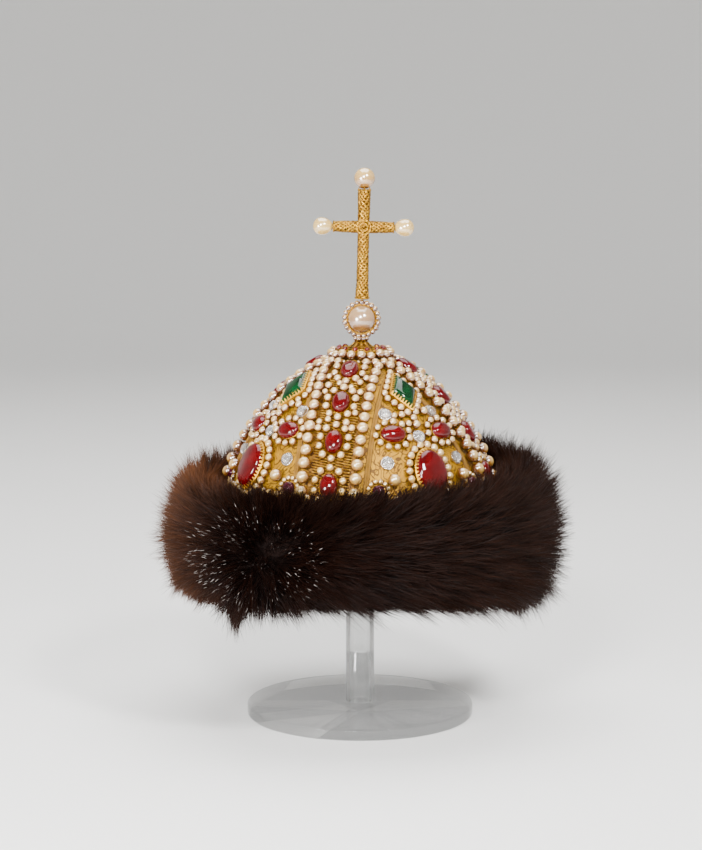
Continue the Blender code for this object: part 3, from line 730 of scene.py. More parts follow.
@dataclass(frozen=True)
class PearlFinish(Finish):
    """Nacre: warm ivory that differs from pearl to pearl, under a clear coat."""

    rosy: Colour = colour(0.48, 0.29, 0.08)
    # Painted shade: the colour that darkens each pearl away from its top.
    side: Colour = colour(0.44, 0.25, 0.08)
    # Painted shade: the deeper brown at each pearl's foot.
    foot: Colour = colour(0.22, 0.09, 0.02)

    def dress(self, sheet: NodeSheet, shader: bpy.types.NodeInputs) -> None:
        """Tint by pearl, with a soft drift over each one, and painted shade that darkens it away from its
        top and most at its foot.

        Args:
            sheet: The material's sheet.
            shader: Inputs of its shader.
        """
        grain = self.worn(sheet, self.rosy, 260.0, 0.28)
        tone = sheet.mix(sheet.value("tint"), grain["Colour"], self.rosy)
        # Painted shade from the shade value: darker away from each pearl's top, darkest towards its foot.
        tone = sheet.mix(sheet.ramp(sheet.value("recess"), -0.10, 0.42), tone, self.side, "MULTIPLY")
        tone = sheet.mix(sheet.ramp(sheet.value("recess"), 0.10, 0.62), tone, self.foot, "MULTIPLY")
        facing = sheet.ramp(sheet.add("LayerWeight", {"Blend": 0.5}).outputs["Facing"], 0.30, 0.95)
        sheet.feed(shader, {
            "Base Color": tone,
            "Roughness": sheet.math("MULTIPLY_ADD", grain["Mask"], 0.12, self.roughness),
            "Normal": sheet.bump(grain["Height"], 0.00006, 0.5),
            "Coat Weight": sheet.math("MULTIPLY_ADD", facing, -0.75, 1.0),
            "Coat Roughness": 0.16,
            "Coat IOR": 2.1,
            "IOR": 1.68,
            "Specular IOR Level": 0.8,
        })


@dataclass(frozen=True)
class GoldFinish(Finish):
    """Gilt wire and metal, with painted shade where it is deep."""

    second: Colour = colour(0.30, 0.13, 0.012)
    # Painted shade: the dark brown of the deep places.
    deep: Colour = colour(0.10, 0.04, 0.008)
    threads: float = 0.0

    def dress(self, sheet: NodeSheet, shader: bpy.types.NodeInputs) -> None:
        """Grain, painted shade in the deep places and, on wire, its fine winding.

        Args:
            sheet: The material's sheet.
            shader: Inputs of its shader.
        """
        grain = self.worn(sheet, self.second, 380.0, 0.75)
        height = grain["Height"]
        if self.threads:
            inputs = {"Vector": sheet.uv(), "Threads": self.threads, "Slant": 3.0}
            laid = sheet.group(EFFECTS.threads, inputs).outputs["Height"]
            height = sheet.math("MULTIPLY_ADD", laid, 1.2, height)
        # Painted shade: deep places turn towards the dark brown by their shade value.
        deep = sheet.ramp(sheet.value("recess"), 0.12, 0.68)
        sheet.feed(shader, {
            "Base Color": sheet.mix(deep, grain["Colour"], self.deep),
            "Roughness": sheet.math("MULTIPLY_ADD", grain["Mask"], 0.22, self.roughness),
            "Normal": sheet.bump(height, 0.0002, 0.7),
        })


@dataclass(frozen=True)
class StoneFinish(Finish):
    """Foiled glass stone: deep colour under a hard polish."""

    glow: Colour = colour(0.19, 0.0, 0.002)
    clearness: float = 0.45
    ior: float = 1.47

    def dress(self, sheet: NodeSheet, shader: bpy.types.NodeInputs) -> None:
        """Clear glass with a clouded depth.

        Args:
            sheet: The material's sheet.
            shader: Inputs of its shader.
        """
        cloud = self.worn(sheet, self.glow, 150.0, 0.8)
        sheet.feed(shader, {
            "Base Color": cloud["Colour"],
            "Transmission Weight": self.clearness,
            "IOR": self.ior,
        })


@dataclass(frozen=True)
class AcrylicFinish(Finish):
    """Clear acrylic with faint handling marks; where it has less body, light passes it straight."""

    body: float = 0.8

    def dress(self, sheet: NodeSheet, shader: bpy.types.NodeInputs) -> None:
        """Glass whose roughness drifts a little.

        Args:
            sheet: The material's sheet.
            shader: Inputs of its shader.
        """
        marks = self.worn(sheet, self.base, 60.0, 1.0)["Mask"]
        sheet.feed(shader, {
            "Roughness": sheet.math("MULTIPLY_ADD", marks, 0.05, self.roughness),
            "Transmission Weight": 1.0,
            "IOR": 1.49,
            "Alpha": self.body,
        })


@dataclass(frozen=True)
class BrocadeFinish(Finish):
    """Golden lame with thin brown scroll outlines."""

    second: Colour = colour(0.23, 0.09, 0.003)
    # Painted shade: the darker ground under the bands' bullion.
    painted_bullion_shade: Colour = colour(0.15, 0.06, 0.012)
    outline: Colour = colour(0.035, 0.010, 0.003)

    def dress(self, sheet: NodeSheet, shader: bpy.types.NodeInputs) -> None:
        """Scrolls over a creased, uneven ground, with painted shade along the bands.

        Args:
            sheet: The material's sheet.
            shader: Inputs of its shader.
        """
        inputs = {"Vector": sheet.object_place(), "Scale": 170.0, "Width": 0.125}
        scrolls = sheet.group(EFFECTS.scrolls, inputs).outputs
        grain = self.worn(sheet, self.second, 130.0, 0.6)
        # Painted shade: the ground darkens where the shade value is high, under the bullion.
        ground = sheet.mix(sheet.value("recess"), grain["Colour"], self.painted_bullion_shade)
        line = sheet.math("MULTIPLY", scrolls["Mask"], 0.8)
        height = sheet.math("MULTIPLY_ADD", scrolls["Height"], 0.25, grain["Height"])
        height = sheet.math("MULTIPLY_ADD", scrolls["Mask"], -0.6, height)
        sheet.feed(shader, {
            "Base Color": sheet.mix(line, ground, self.outline),
            "Normal": sheet.bump(height, 0.0004, 0.7),
            "Specular IOR Level": 0.2,
        })


@dataclass(frozen=True)
class BraidFinish(Finish):
    """Plaited gimp: fine slanting threads round each of its cords."""

    second: Colour = colour(0.24, 0.105, 0.003)
    # Painted shade: the darker colour between the threads.
    between: Colour = colour(0.20, 0.09, 0.015)
    # Painted shade: the dark brown where the cords dip and under them.
    deep: Colour = colour(0.10, 0.04, 0.008)

    def dress(self, sheet: NodeSheet, shader: bpy.types.NodeInputs) -> None:
        """Threads from the UV, with painted shade between them and where the cords dip.

        Args:
            sheet: The material's sheet.
            shader: Inputs of its shader.
        """
        inputs = {"Vector": sheet.uv(), "Threads": 5200.0, "Slant": 12.0}
        ridge = sheet.group(EFFECTS.threads, inputs).outputs["Height"]
        grain = self.worn(sheet, self.second, 300.0, 0.6)
        # Painted shade between the threads, then where the shade value is high.
        tone = sheet.mix(sheet.ramp(ridge, 0.0, 0.5), self.between, grain["Colour"])
        tone = sheet.mix(sheet.value("recess"), tone, self.deep)
        sheet.feed(shader, {"Base Color": tone, "Normal": sheet.bump(ridge, 0.0002, 0.8)})


@dataclass(frozen=True)
class FurFinish(Finish):
    """Hair: near black at the root, brown at the tip; tips warmer and lighter on the left, partly its own
    colour and partly painted light, and painted glints where the values say so.
    """

    tip: Colour = colour(0.010, 0.0026, 0.0013)
    # Partly the hair's own warm brown, partly painted light from the left side.
    lit_warm_tip: Colour = colour(0.26, 0.095, 0.034)
    shaded: Colour = colour(0.35, 0.30, 0.30)
    # Painted highlight: the pale colour of the glints.
    painted_glint: Colour = colour(0.42, 0.39, 0.37)

    def dress(self, sheet: NodeSheet, shader: bpy.types.NodeInputs) -> None:
        """Colour along each hair, with its own tint, the painted side light and the painted glints.

        Args:
            sheet: The material's sheet.
            shader: Inputs of its shader.
        """
        # Tips warmer and lighter on the left: partly own colour, partly painted light.
        tip = sheet.mix(sheet.value("warmth"), self.tip, self.lit_warm_tip)
        tip = sheet.mix(sheet.value("tint"), tip, self.shaded, "MULTIPLY")
        along = sheet.math("POWER", sheet.value("along"), 1.4)
        # Painted glints: short pale dashes along some hairs; the same value also lowers their roughness.
        dash = sheet.ramp(sheet.value("dash"), 0.78, 0.95)
        glint_share = sheet.math("MULTIPLY", sheet.value("gloss"), dash)
        sheet.feed(shader, {
            "Base Color": sheet.mix(glint_share, sheet.mix(along, self.base, tip), self.painted_glint),
            "Roughness": sheet.math("MULTIPLY_ADD", sheet.value("gloss"), -0.34, self.roughness),
            "IOR": 1.38,
            "Specular IOR Level": 0.09,
        })


@dataclass(frozen=True)
class FeltFinish(Finish):
    """Plain felt or pelt with a fibrous grain."""

    second: Colour = colour(0.1, 0.05, 0.03)

    def dress(self, sheet: NodeSheet, shader: bpy.types.NodeInputs) -> None:
        """Fibres as fine relief.

        Args:
            sheet: The material's sheet.
            shader: Inputs of its shader.
        """
        grain = self.worn(sheet, self.second, 240.0, 1.0)
        sheet.feed(shader, {
            "Base Color": grain["Colour"],
            "Normal": sheet.bump(grain["Height"], 0.0006, 0.8),
            "Specular IOR Level": 0.08,
        })


@dataclass(frozen=True)
class Palette:
    """Every finish of the crown, made once."""

    pearl: bpy.types.Material
    ball: bpy.types.Material
    gold: bpy.types.Material
    wire: bpy.types.Material
    silver: bpy.types.Material
    red: bpy.types.Material
    dark_red: bpy.types.Material
    bright_red: bpy.types.Material
    green: bpy.types.Material
    clear: bpy.types.Material
    acrylic: bpy.types.Material
    acrylic_sheet: bpy.types.Material
    brocade: bpy.types.Material
    lining: bpy.types.Material
    braid: bpy.types.Material
    hair: bpy.types.Material
    pelt: bpy.types.Material

    @classmethod
    def made(cls) -> "Palette":
        """All the materials.

        Returns:
            The palette.
        """
        steel, clear_sheet = colour(0.2, 0.2, 0.2), colour(0.97, 0.98, 0.98)
        white, brown, leaf = colour(1, 1, 1), colour(0.10, 0.06, 0.04), colour(0.003, 0.10, 0.02)
        finishes = {
            "pearl": PearlFinish("ivory_pearl", colour(0.62, 0.41, 0.115), 0.18),
            "ball": PearlFinish("rosy_pearl", colour(0.39, 0.24, 0.125), 0.18),
            "gold": GoldFinish("gilt_metal", colour(0.46, 0.25, 0.022), 0.26, 1.0),
            "wire": GoldFinish("gilt_bullion", colour(0.60, 0.33, 0.035), 0.32, 1.0, threads=5200.0),
            # Painted shade in the foil cups' deep places turns towards steel grey.
            "silver": GoldFinish("foil_cup", colour(0.86, 0.84, 0.80), 0.2, 1.0, deep=steel),
            "red": StoneFinish("red_glass", colour(0.09, 0.0, 0.001), 0.04),
            "dark_red": StoneFinish(
                "dark_red_glass", colour(0.05, 0.0, 0.008), 0.08, glow=colour(0.12, 0.0, 0.02)
            ),
            "bright_red": StoneFinish("bright_red_glass", colour(0.10, 0.0, 0.001), 0.10, clearness=0.3),
            "green": StoneFinish(
                "green_glass", colour(0.001, 0.022, 0.005), 0.03, glow=leaf, clearness=0.6
            ),
            "clear": StoneFinish(
                "clear_rhinestone", colour(0.95, 0.95, 0.97), 0.02, glow=white, clearness=0.95, ior=1.7
            ),
            "acrylic": AcrylicFinish("clear_acrylic_tube", clear_sheet, 0.02),
            "acrylic_sheet": AcrylicFinish("clear_acrylic_disc", clear_sheet, 0.02, body=0.5),
            "brocade": BrocadeFinish("golden_brocade", colour(0.38, 0.19, 0.003), 0.46, 0.28),
            "lining": FeltFinish("felt_lining", colour(0.16, 0.10, 0.06), 0.95, second=brown),
            "braid": BraidFinish("gold_gimp", colour(0.31, 0.15, 0.004), 0.46, 0.35),
            "hair": FurFinish("sable_hair", colour(0.0015, 0.0006, 0.0005), 0.45),
            "pelt": FeltFinish(
                "sable_pelt", colour(0.004, 0.002, 0.0016), 0.95, second=colour(0.009, 0.004, 0.003)
            ),
        }
        return cls(**{name: finish.make() for name, finish in finishes.items()})


class Slot(Enum):
    """Material slots of the record."""

    BROCADE = "gold_brocade"
    FUR = "fur"
    GOLD = "gold_metal"
    PEARL = "pearl"
    RED = "red_stone"
    GREEN = "green_stone"
    BRAID = "gold_braid"
    CLEAR = "clear_acrylic"


@dataclass
class Bench:
    """Where finished pieces go."""

    palette: Palette
    crease: float = math.radians(38)

    def add(
        self,
        name: str,
        surface: Surface,
        finishes: Sequence[bpy.types.Material],
        slot: Slot,
        nodes: Sequence[str] = (),
        frame_: Array = CROWN,
        creased: bool = True,
    ) -> bpy.types.Object:
        """Make an object of a surface and hang it on the frame.

        Args:
            name: Its name.
            surface: Its surface, in the frame that is given.
            finishes: Its materials, by the surface's finish numbers.
            slot: The record's slot that it stands for; not used.
            nodes: The CAD nodes that it stands for.
            frame_: Matrix from the surface's frame to the row frame.
            creased: Whether edges past the crease angle are shaded sharp.

        Returns:
            The object.
        """
        points = surface.points @ frame_[:3, :3].T + frame_[:3, 3]
        loops = np.concatenate([f.ravel() for f in surface.faces]).astype(np.int32)
        corners = np.concatenate([np.full(len(f), f.shape[1]) for f in surface.faces])
        counts = [len(f) for f in surface.faces]
        mesh = bpy.data.meshes.new(name)
        mesh.vertices.add(len(points))
        mesh.vertices.foreach_set("co", points.astype(np.float32).ravel())
        mesh.loops.add(len(loops))
        mesh.loops.foreach_set("vertex_index", loops)
        mesh.polygons.add(len(corners))
        mesh.polygons.foreach_set("loop_start", (np.cumsum(corners) - corners).astype(np.int32))
        mesh.polygons.foreach_set("use_smooth", np.repeat(surface.smooth, counts))
        for material in finishes:
            mesh.materials.append(material)
        mesh.polygons.foreach_set("material_index", np.repeat(surface.finish, counts).astype(np.int32))
        mesh.update(calc_edges=True)
        if surface.uv is not None:
            layer = mesh.uv_layers.new(name="UVMap")
            layer.data.foreach_set("uv", surface.uv[loops].astype(np.float32).ravel())
        for label, value in surface.values.items():
            held = mesh.attributes.new(label, "FLOAT", "POINT")
            held.data.foreach_set("value", value.astype(np.float32))
        if creased:
            mesh.set_sharp_from_angle(angle=self.crease)
        made = bpy.data.objects.new(name, mesh)
        bpy.context.scene.collection.objects.link(made)
        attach(made, "root")
        if nodes:
            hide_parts(*nodes)
        log.info("%s: %d triangles", name, int((corners - 2).sum()))
        return made


# Stones and their settings


class Cut(Enum):
    """Cuts, as rows of (share of the outline, share of the height) from table to back."""

    OVAL = ((0.58, 1.0), (0.80, 0.84), (0.97, 0.50), (0.94, 0.20))
    GREAT = ((0.76, 1.0), (0.89, 0.86), (0.98, 0.52), (0.92, 0.16))
    LOZENGE = ((0.50, 1.0), (0.66, 0.93), (0.83, 0.76), (0.97, 0.50), (0.90, 0.16))
    CABOCHON = ((0.22, 1.0), (0.48, 0.94), (0.70, 0.82), (0.86, 0.67), (0.97, 0.46), (0.97, 0.16))
    BRILLIANT = ((0.52, 1.0), (0.78, 0.82), (1.0, 0.60), (0.60, 0.22), (0.14, 0.06))


@dataclass(frozen=True)
class Stone:
    """A stone's cut and sizes, the pearls sewn round it and the teeth that hold it."""

    cut: Cut
    width: float
    length: float
    height: float
    sides: int
    pearl: float = 0.0
    pearls: int = 0
    teeth: int = 0
    rim: float = 0.0004

    @property
    def power(self) -> float:
        """Exponent of the outline |x/a|^p + |y/b|^p = 1."""
        return 1.0 if self.cut is Cut.LOZENGE else 2.0

    def outline(self, count: int, phase: float = 0.0) -> Array:
        """Corners at equal steps t: x = a cos(t)^(2/p), y = b sin(t)^(2/p), signs kept.

        Args:
            count: How many corners.
            phase: Share of a step by which they turn.

        Returns:
            The corners as (x, y).
        """
        t = turn_steps(count, phase)
        share = 2 / self.power
        x = np.sign(np.cos(t)) * np.abs(np.cos(t)) ** share * self.width / 2
        y = np.sign(np.sin(t)) * np.abs(np.sin(t)) ** share * self.length / 2
        return np.stack([x, y], -1)

    def round(self, count: int, grow: float) -> tuple[Array, Array]:
        """Evenly spaced points round the outline grown outwards, and their outward directions.

        Args:
            count: How many points.
            grow: How far outside the outline they lie.

        Returns:
            The points and the unit directions, as (x, y).
        """
        grow *= 1.2 if self.power == 1.0 else 1.0
        dense = Stone(self.cut, self.width + 2 * grow, self.length + 2 * grow, 0, 0).outline(720)
        steps = np.linalg.norm(np.roll(dense, -1, 0) - dense, axis=1)
        length = np.r_[0, np.cumsum(steps)]
        at = length[-1] * (np.arange(count) + 0.5) / count
        loop = np.concatenate([dense, dense[:1]])
        points = np.stack([np.interp(at, length, loop[:, k]) for k in (0, 1)], -1)
        half = np.array([self.width / 2 + grow, self.length / 2 + grow])
        out = np.sign(points) * np.abs(points / half) ** (self.power - 1) / half
        return points, unit(out)

    def gem(self) -> Surface:
        """The cut stone: its outline in each row of the cut, turned half a step from row to row.

        Returns:
            The stone, its back on the cloth.
        """
        smooth = self.cut is Cut.CABOCHON
        twist = 0.0 if self.cut in (Cut.LOZENGE, Cut.CABOCHON) else 0.5
        rings = []
        for row, (share, up) in enumerate(self.cut.value):
            flat = self.outline(self.sides, twist * row) * share
            rings.append(np.c_[flat, np.full(self.sides, self.height * up)])
        return lofted(np.array(rings), facets=not smooth, smooth=smooth)

    def bezel(self) -> Surface:
        """Rim round the stone, a plate under it and its teeth.

        Returns:
            The setting.
        """
        count = max(4 * self.teeth // 3, 32)
        top, rim = self.height * (0.56 if self.teeth else 0.34), self.rim
        section = ((rim, 0.0), (rim, top * 0.9), (rim * 0.3, top), (-rim, top * 0.92), (-rim, 0.0))
        points, out = self.round(count, 0.0)
        rings = np.stack([np.c_[points + out * reach, np.full(count, z)] for reach, z in section], 1)
        flat = self.outline(24) * 0.98
        plate = np.stack([np.c_[flat, np.full(24, z)] for z in (0.0008, 0.0001)])
        parts = [lofted(rings, loop=True), lofted(plate)]
        if self.teeth:
            parts.append(self.claws(top))
        return joined(parts)

    def claws(self, top: float) -> Surface:
        """Pointed teeth folded from the rim over the stone's edge.

        Args:
            top: Height of the rim.

        Returns:
            The teeth.
        """
        points, out = self.round(self.teeth, self.rim * 0.4)
        wide, outer, inner = 0.36 * np.linalg.norm(points[1] - points[0]), 0.0005, -0.0002
        base = np.array([[-wide, outer, 0], [wide, outer, 0], [wide, inner, 0], [-wide, inner, 0]])
        tip = np.array([[0.0, -0.0021, self.height * 0.30]])
        sides, foot = np.array([[4, 3, 0], [4, 2, 3], [4, 1, 2], [4, 0, 1]]), np.array([[0, 1, 2, 3]])
        tooth = Surface.of(np.concatenate([base, tip]), [sides, foot], smooth=False)
        normal = np.c_[out, np.zeros(self.teeth)]
        up = np.tile(UP, (self.teeth, 1))
        axes = np.stack([np.cross(normal, up), normal, up], 1)
        origins = np.c_[points, np.full(self.teeth, top * 0.9)]
        return copies(tooth, Places(origins, axes, np.ones(self.teeth)))


OVAL = Stone(Cut.OVAL, 0.013, 0.018, 0.0064, 10, 0.0058, 10, rim=0.0003)
CABOCHON = Stone(Cut.CABOCHON, 0.018, 0.013, 0.0064, 20, 0.0052, 11, rim=0.0003)
GREAT = Stone(Cut.GREAT, 0.024, 0.033, 0.0082, 16, 0.0058, 20, teeth=36, rim=0.0008)
LOZENGE = Stone(Cut.LOZENGE, 0.021, 0.033, 0.0076, 4, 0.0054, 18, teeth=36, rim=0.0008)
CHIP = Stone(Cut.OVAL, 0.0095, 0.0085, 0.0046, 8, 0.0036, 12)
RHINESTONE = Stone(Cut.BRILLIANT, 0.0082, 0.0082, 0.0040, 8)
PLATE_STONE = Stone(Cut.OVAL, 0.0040, 0.0040, 0.0024, 8, rim=0.0003)


@dataclass
class PearlBed:
    """Pearls waiting for a place on the cloth; those offered first keep theirs."""

    rng: np.random.Generator
    crowding: float = 0.81
    sunk: float = 0.94
    stone_reach: float = 0.012
    owners: list[str] = field(default_factory=list)
    seeds: list[Array] = field(default_factory=list)
    radii: list[Array] = field(default_factory=list)
    stones: list[tuple[Stone, Array, Array]] = field(default_factory=list)
    fixed: list[Places] = field(default_factory=list)

    def offer(self, owner: str, points: Array, radii: Array | float) -> None:
        """Offer pearls to a piece, at points of the crown's frame.

        Args:
            owner: The piece.
            points: Where each pearl would be.
            radii: Radius, or one for each.
        """
        self.owners += [owner] * len(points)
        self.seeds.append(points)
        self.radii.append(np.broadcast_to(np.asarray(radii, float), len(points)))

    def offer_round(self, owner: str, stone: Stone, place: Places) -> None:
        """Offer the pearls that are sewn round a stone.

        Args:
            owner: The piece.
            stone: The stone.
            place: Its place on the cloth.
        """
        self.stones.append((stone, place.origins[0], place.axes[0]))
        if not stone.pearls:
            return
        flat, _ = stone.round(stone.pearls, stone.pearl * 0.56)
        points = place.origins[0] + flat @ place.axes[0][:2]
        self.offer(owner, points, stone.pearl / 2 * self.rng.normal(1.0, 0.035, stone.pearls))

    def off_stones(self, points: Array, radii: Array) -> Array:
        """Which pearls lie outside every stone.

        Args:
            points: Middles of the pearls.
            radii: Their radii.

        Returns:
            True for each pearl that is clear.
        """
        free = np.ones(len(points), bool)
        for stone, origin, axes in self.stones:
            local = (points - origin) @ axes.T
            half = np.array([stone.width, stone.length]) / 2 + 0.5 * radii[:, None]
            inside = (np.abs(local[:, :2] / half) ** stone.power).sum(1) < 1
            free &= ~(inside & (np.abs(local[:, 2]) < self.stone_reach))
        return free

    def sewn(self) -> dict[str, Places]:
        """Places of the pearls that found room, by owner: each clears those kept before it.

        Returns:
            The places, by the name of the piece.
        """
        points, radii = np.concatenate(self.seeds), np.concatenate(self.radii)
        places = DOME.settled(points, radii * self.sunk, 2 * radii)
        free = self.off_stones(places.origins, radii)
        for others in self.fixed:
            far = np.linalg.norm(places.origins[:, None] - others.origins, axis=2)
            free &= np.all(far > self.crowding * (radii[:, None] + others.sizes / 2), axis=1)
        kept: list[int] = []
        for k in np.flatnonzero(free):
            far = np.linalg.norm(places.origins[kept] - places.origins[k], axis=1)
            if np.all(far > self.crowding * (radii[kept] + radii[k])):
                kept.append(int(k))
        owners = np.array(self.owners)
        chosen = np.array(kept)
        found = {}
        for owner in dict.fromkeys(self.owners):
            mine = chosen[owners[chosen] == owner]
            found[owner] = Places(places.origins[mine], places.axes[mine], places.sizes[mine])
        return found


@dataclass
class Dressing:
    """The jewelled top: stones in their settings, pearls, braids and bullion on the cap."""

    bench: Bench
    rng: np.random.Generator
    plate_radius: float = 0.0175
    margin: float = 0.001
    string_start: float = 0.0236
    string_pearl: float = 0.0072
    string_growth: float = 0.0018
    string_gap: float = 0.0004
    ring_pearl: float = 0.0066
    ring_height: float = 0.1569
    fill_radius: float = 0.0028
    fill_seeds: int = 2600
    fill_top: float = 0.148
    fill_span: float = 0.040
    braid_start: float = 0.0285
    braid_pitch: float = 0.0030
    bullion_start: float = 0.019
    bullion_pitch: float = 0.0019
    bullion_rows: tuple[float, ...] = (-0.0105, -0.0052, 0.0, 0.0052, 0.0105)
    rhinestone_spots: tuple[tuple[float, float], ...] = (
        (0.120, -17.5), (0.120, 17.5), (0.1055, 0.0), (0.090, -20.0), (0.090, 20.0),
    )
    bed: PearlBed = field(init=False)

    def __post_init__(self) -> None:
        """Start with an empty bed of pearls."""
        self.bed = PearlBed(self.rng)

    def build(self) -> None:
        """All the pieces on the cap, band by band and panel by panel."""
        self.top_ring()
        for quarter, band in enumerate(BANDS):
            self.band_stones(quarter, band)
        self.offer_strings()
        for quarter, panel in enumerate(PANELS):
            self.panel_stones(quarter, panel)
        self.offer_fill()
        self.pearls()
        self.braids()
        self.bullion()

    def set_stones(
        self,
        name: str,
        stones: Sequence[tuple[Stone, Places]],
        finish: bpy.types.Material,
        slot: Slot,
        nodes: Sequence[str],
        metal: bpy.types.Material,
    ) -> None:
        """Stones of one finish, and their settings as a second piece.

        Args:
            name: Name of the piece.
            stones: Each stone and its place.
            finish: Material of the stones.
            slot: The record's slot of the stones.
            nodes: The CAD nodes that they stand for.
            metal: Material of the settings.
        """
        gems = [copies(stone.gem(), place) for stone, place in stones]
        self.bench.add(name, joined(gems), [finish], slot, nodes)
        rims = [copies(stone.bezel(), place) for stone, place in stones]
        self.bench.add(name + "_settings", joined(rims), [metal], Slot.GOLD, nodes)

    def band_stones(self, quarter: int, band: str) -> None:
        """Four ovals down a narrow band, from the plate to the fur.

        Args:
            quarter: Number of the band.
            band: Its name.
        """
        first = self.plate_radius + self.margin + OVAL.pearl + OVAL.length / 2
        last = DOME.length_at(0, SEAT) - self.margin - OVAL.pearl - OVAL.length / 2
        stones = []
        for length in np.linspace(first, last, 4):
            place = DOME.places(BAND_AZIMUTH[quarter], 0, DOME.height_at(0, length), LIFT)
            stones.append((OVAL, place))
            self.bed.offer_round(f"band_pearls_{band}", OVAL, place)
        nodes = [f"oval_{band}_{k}" for k in range(1, 5)]
        palette = self.bench.palette
        self.set_stones(f"band_ovals_{band}", stones, palette.red, Slot.RED, nodes, palette.gold)

    def panel_stones(self, quarter: int, panel: str) -> None:
        """Lozenge, cabochons, great oval, small ovals and rhinestones of a wide panel.

        Args:
            quarter: Number of the panel.
            panel: Its name.
        """
        azimuth, palette = PANEL_AZIMUTH[quarter], self.bench.palette
        pearls = f"panel_pearls_{panel}"
        lozenge_at = self.plate_radius + 0.0232 + LOZENGE.length / 2
        great_at = DOME.length_at(0, SEAT) - self.margin - GREAT.pearl - GREAT.length / 2
        aside = 0.0045 + CABOCHON.pearl + CABOCHON.width / 2
        level = DOME.height_at(0, lozenge_at + LOZENGE.length / 2 + 0.0149)

        def at(
            stone: Stone, z: float, lateral: float = 0.0, degrees: float = 0.0, lift: float = LIFT
        ) -> tuple[Stone, Places]:
            """A stone set at a height, its pearls offered."""
            place = DOME.places(azimuth + math.radians(degrees), lateral, z, lift)
            self.bed.offer_round(pearls, stone, place)
            return stone, place

        great = at(GREAT, DOME.height_at(0, great_at))
        lozenge = at(LOZENGE, DOME.height_at(0, lozenge_at), lift=0.001)
        cabochons = [at(CABOCHON, level, side * aside, lift=0.001) for side in (-1, 1)]
        chips = [at(CHIP, 0.0725, degrees=25.0 * side) for side in (-1, 1)]
        brilliants = [at(RHINESTONE, z, degrees=degrees) for z, degrees in self.rhinestone_spots]
        reds = [f"great_oval_{panel}", f"cabochon_{panel}_l", f"cabochon_{panel}_r"]
        greens, gold, silver = [f"lozenge_{panel}"], palette.gold, palette.silver
        self.set_stones(f"panel_reds_{panel}", [great, *cabochons], palette.red, Slot.RED, reds, gold)
        self.set_stones(f"lozenge_stone_{panel}", [lozenge], palette.green, Slot.GREEN, greens, gold)
        self.set_stones(f"panel_chips_{panel}", chips, palette.dark_red, Slot.RED, [], gold)
        self.set_stones(f"rhinestones_{panel}", brilliants, palette.clear, Slot.CLEAR, [], silver)
        singles = DOME.places(azimuth, np.array([-1, 1]) * 0.0265, 0.0785, 0.004)
        self.bed.offer(pearls, singles.origins, 0.0045)

    def offer_strings(self) -> None:
        """Large pearls down both edges of each band, growing from the top to the fur."""
        end = DOME.length_at(STRING_LATERAL, SEAT) - self.margin
        at, sizes = [self.string_start], [self.string_pearl]
        while at[-1] + sizes[-1] + 0.0054 < end:
            at.append(at[-1] + sizes[-1] + self.string_gap)
            size = self.string_pearl + self.string_growth * at[-1] / end
            sizes.append(size * self.rng.normal(1.0, 0.03))
        z = DOME.height_at(STRING_LATERAL, np.array(at))
        for quarter, band in enumerate(BANDS):
            for side in (-1, 1):
                place = DOME.places(BAND_AZIMUTH[quarter], side * STRING_LATERAL, z, 0.004)
                self.bed.offer(f"string_pearls_{band}", place.origins, np.array(sizes) / 2)

    def top_ring(self) -> None:
        """Pearls that lean on the edge of the plate, and two rows below them."""
        count = 19
        azimuth = turn_steps(count) + self.rng.normal(0, 0.012, count)
        radius = self.plate_radius + 0.0031
        sizes = self.ring_pearl * self.rng.normal(1, 0.03, count)
        places = DOME.places(azimuth, 0, DOME.height_at(0, radius), 0.003, sizes)
        places.origins = ring_point(azimuth, radius, self.ring_height + self.rng.normal(0, 0.0006, count))
        self.bed.fixed.append(places)
        pearls = copies(ball(), places, tint=np.clip(self.rng.normal(0.2, 0.2, count), 0, 0.8))
        self.bench.add("ring_pearls", pearls, [self.bench.palette.pearl], Slot.PEARL, creased=False)
        for count, below, lift, pearl_radius in ((24, 0.0078, 0.003, 0.0031), (38, 0.0050, 0.002, 0.0015)):
            z = DOME.height_at(0, self.plate_radius + below)
            row = DOME.places(turn_steps(count, 0.5), 0, z, lift)
            self.bed.offer("top_pearls", row.origins, pearl_radius)

    def offer_fill(self) -> None:
        """Pearls at the fur's edge, beside the lozenges, and crowded over the upper dome."""
        owner, lift, edge = "fill_pearls", 0.003, turn_steps(96)
        row = DOME.places(edge, 0, 0.0672 + 0.0008 * np.cos(edge * 7), lift)
        self.bed.offer(owner, row.origins, self.fill_radius)
        for azimuth in BAND_AZIMUTH:
            for side in (-1, 1):
                column = DOME.places(azimuth, side * 0.0290, np.linspace(0.138, 0.114, 7), lift)
                self.bed.offer(owner, column.origins, self.fill_radius)
        azimuth = self.rng.uniform(0, TAU, self.fill_seeds)
        z = self.fill_top - self.fill_span * self.rng.uniform(0, 1, self.fill_seeds)
        clear = np.abs(beside_band(azimuth, DOME.radius_at(z)) - BRAID_LATERAL) > 0.0052
        places = DOME.places(azimuth[clear], 0, z[clear], lift)
        self.bed.offer(owner, places.origins, 0.0027 * self.rng.normal(1, 0.06, int(clear.sum())))

    def pearls(self) -> None:
        """Every pearl that found room, each turned and tinted a little differently."""
        pearl = ball()
        for owner, places in self.bed.sewn().items():
            count = len(places.sizes)
            tint = np.clip(self.rng.normal(0.22, 0.2, count), 0, 0.8)
            band = owner.removeprefix("string_pearls_")
            nodes = [f"pearl_string_{band}_{side}" for side in "lr"] if band in BANDS else []
            made = copies(pearl, places, tint=tint)
            self.bench.add(owner, made, [self.bench.palette.pearl], Slot.PEARL, nodes, creased=False)

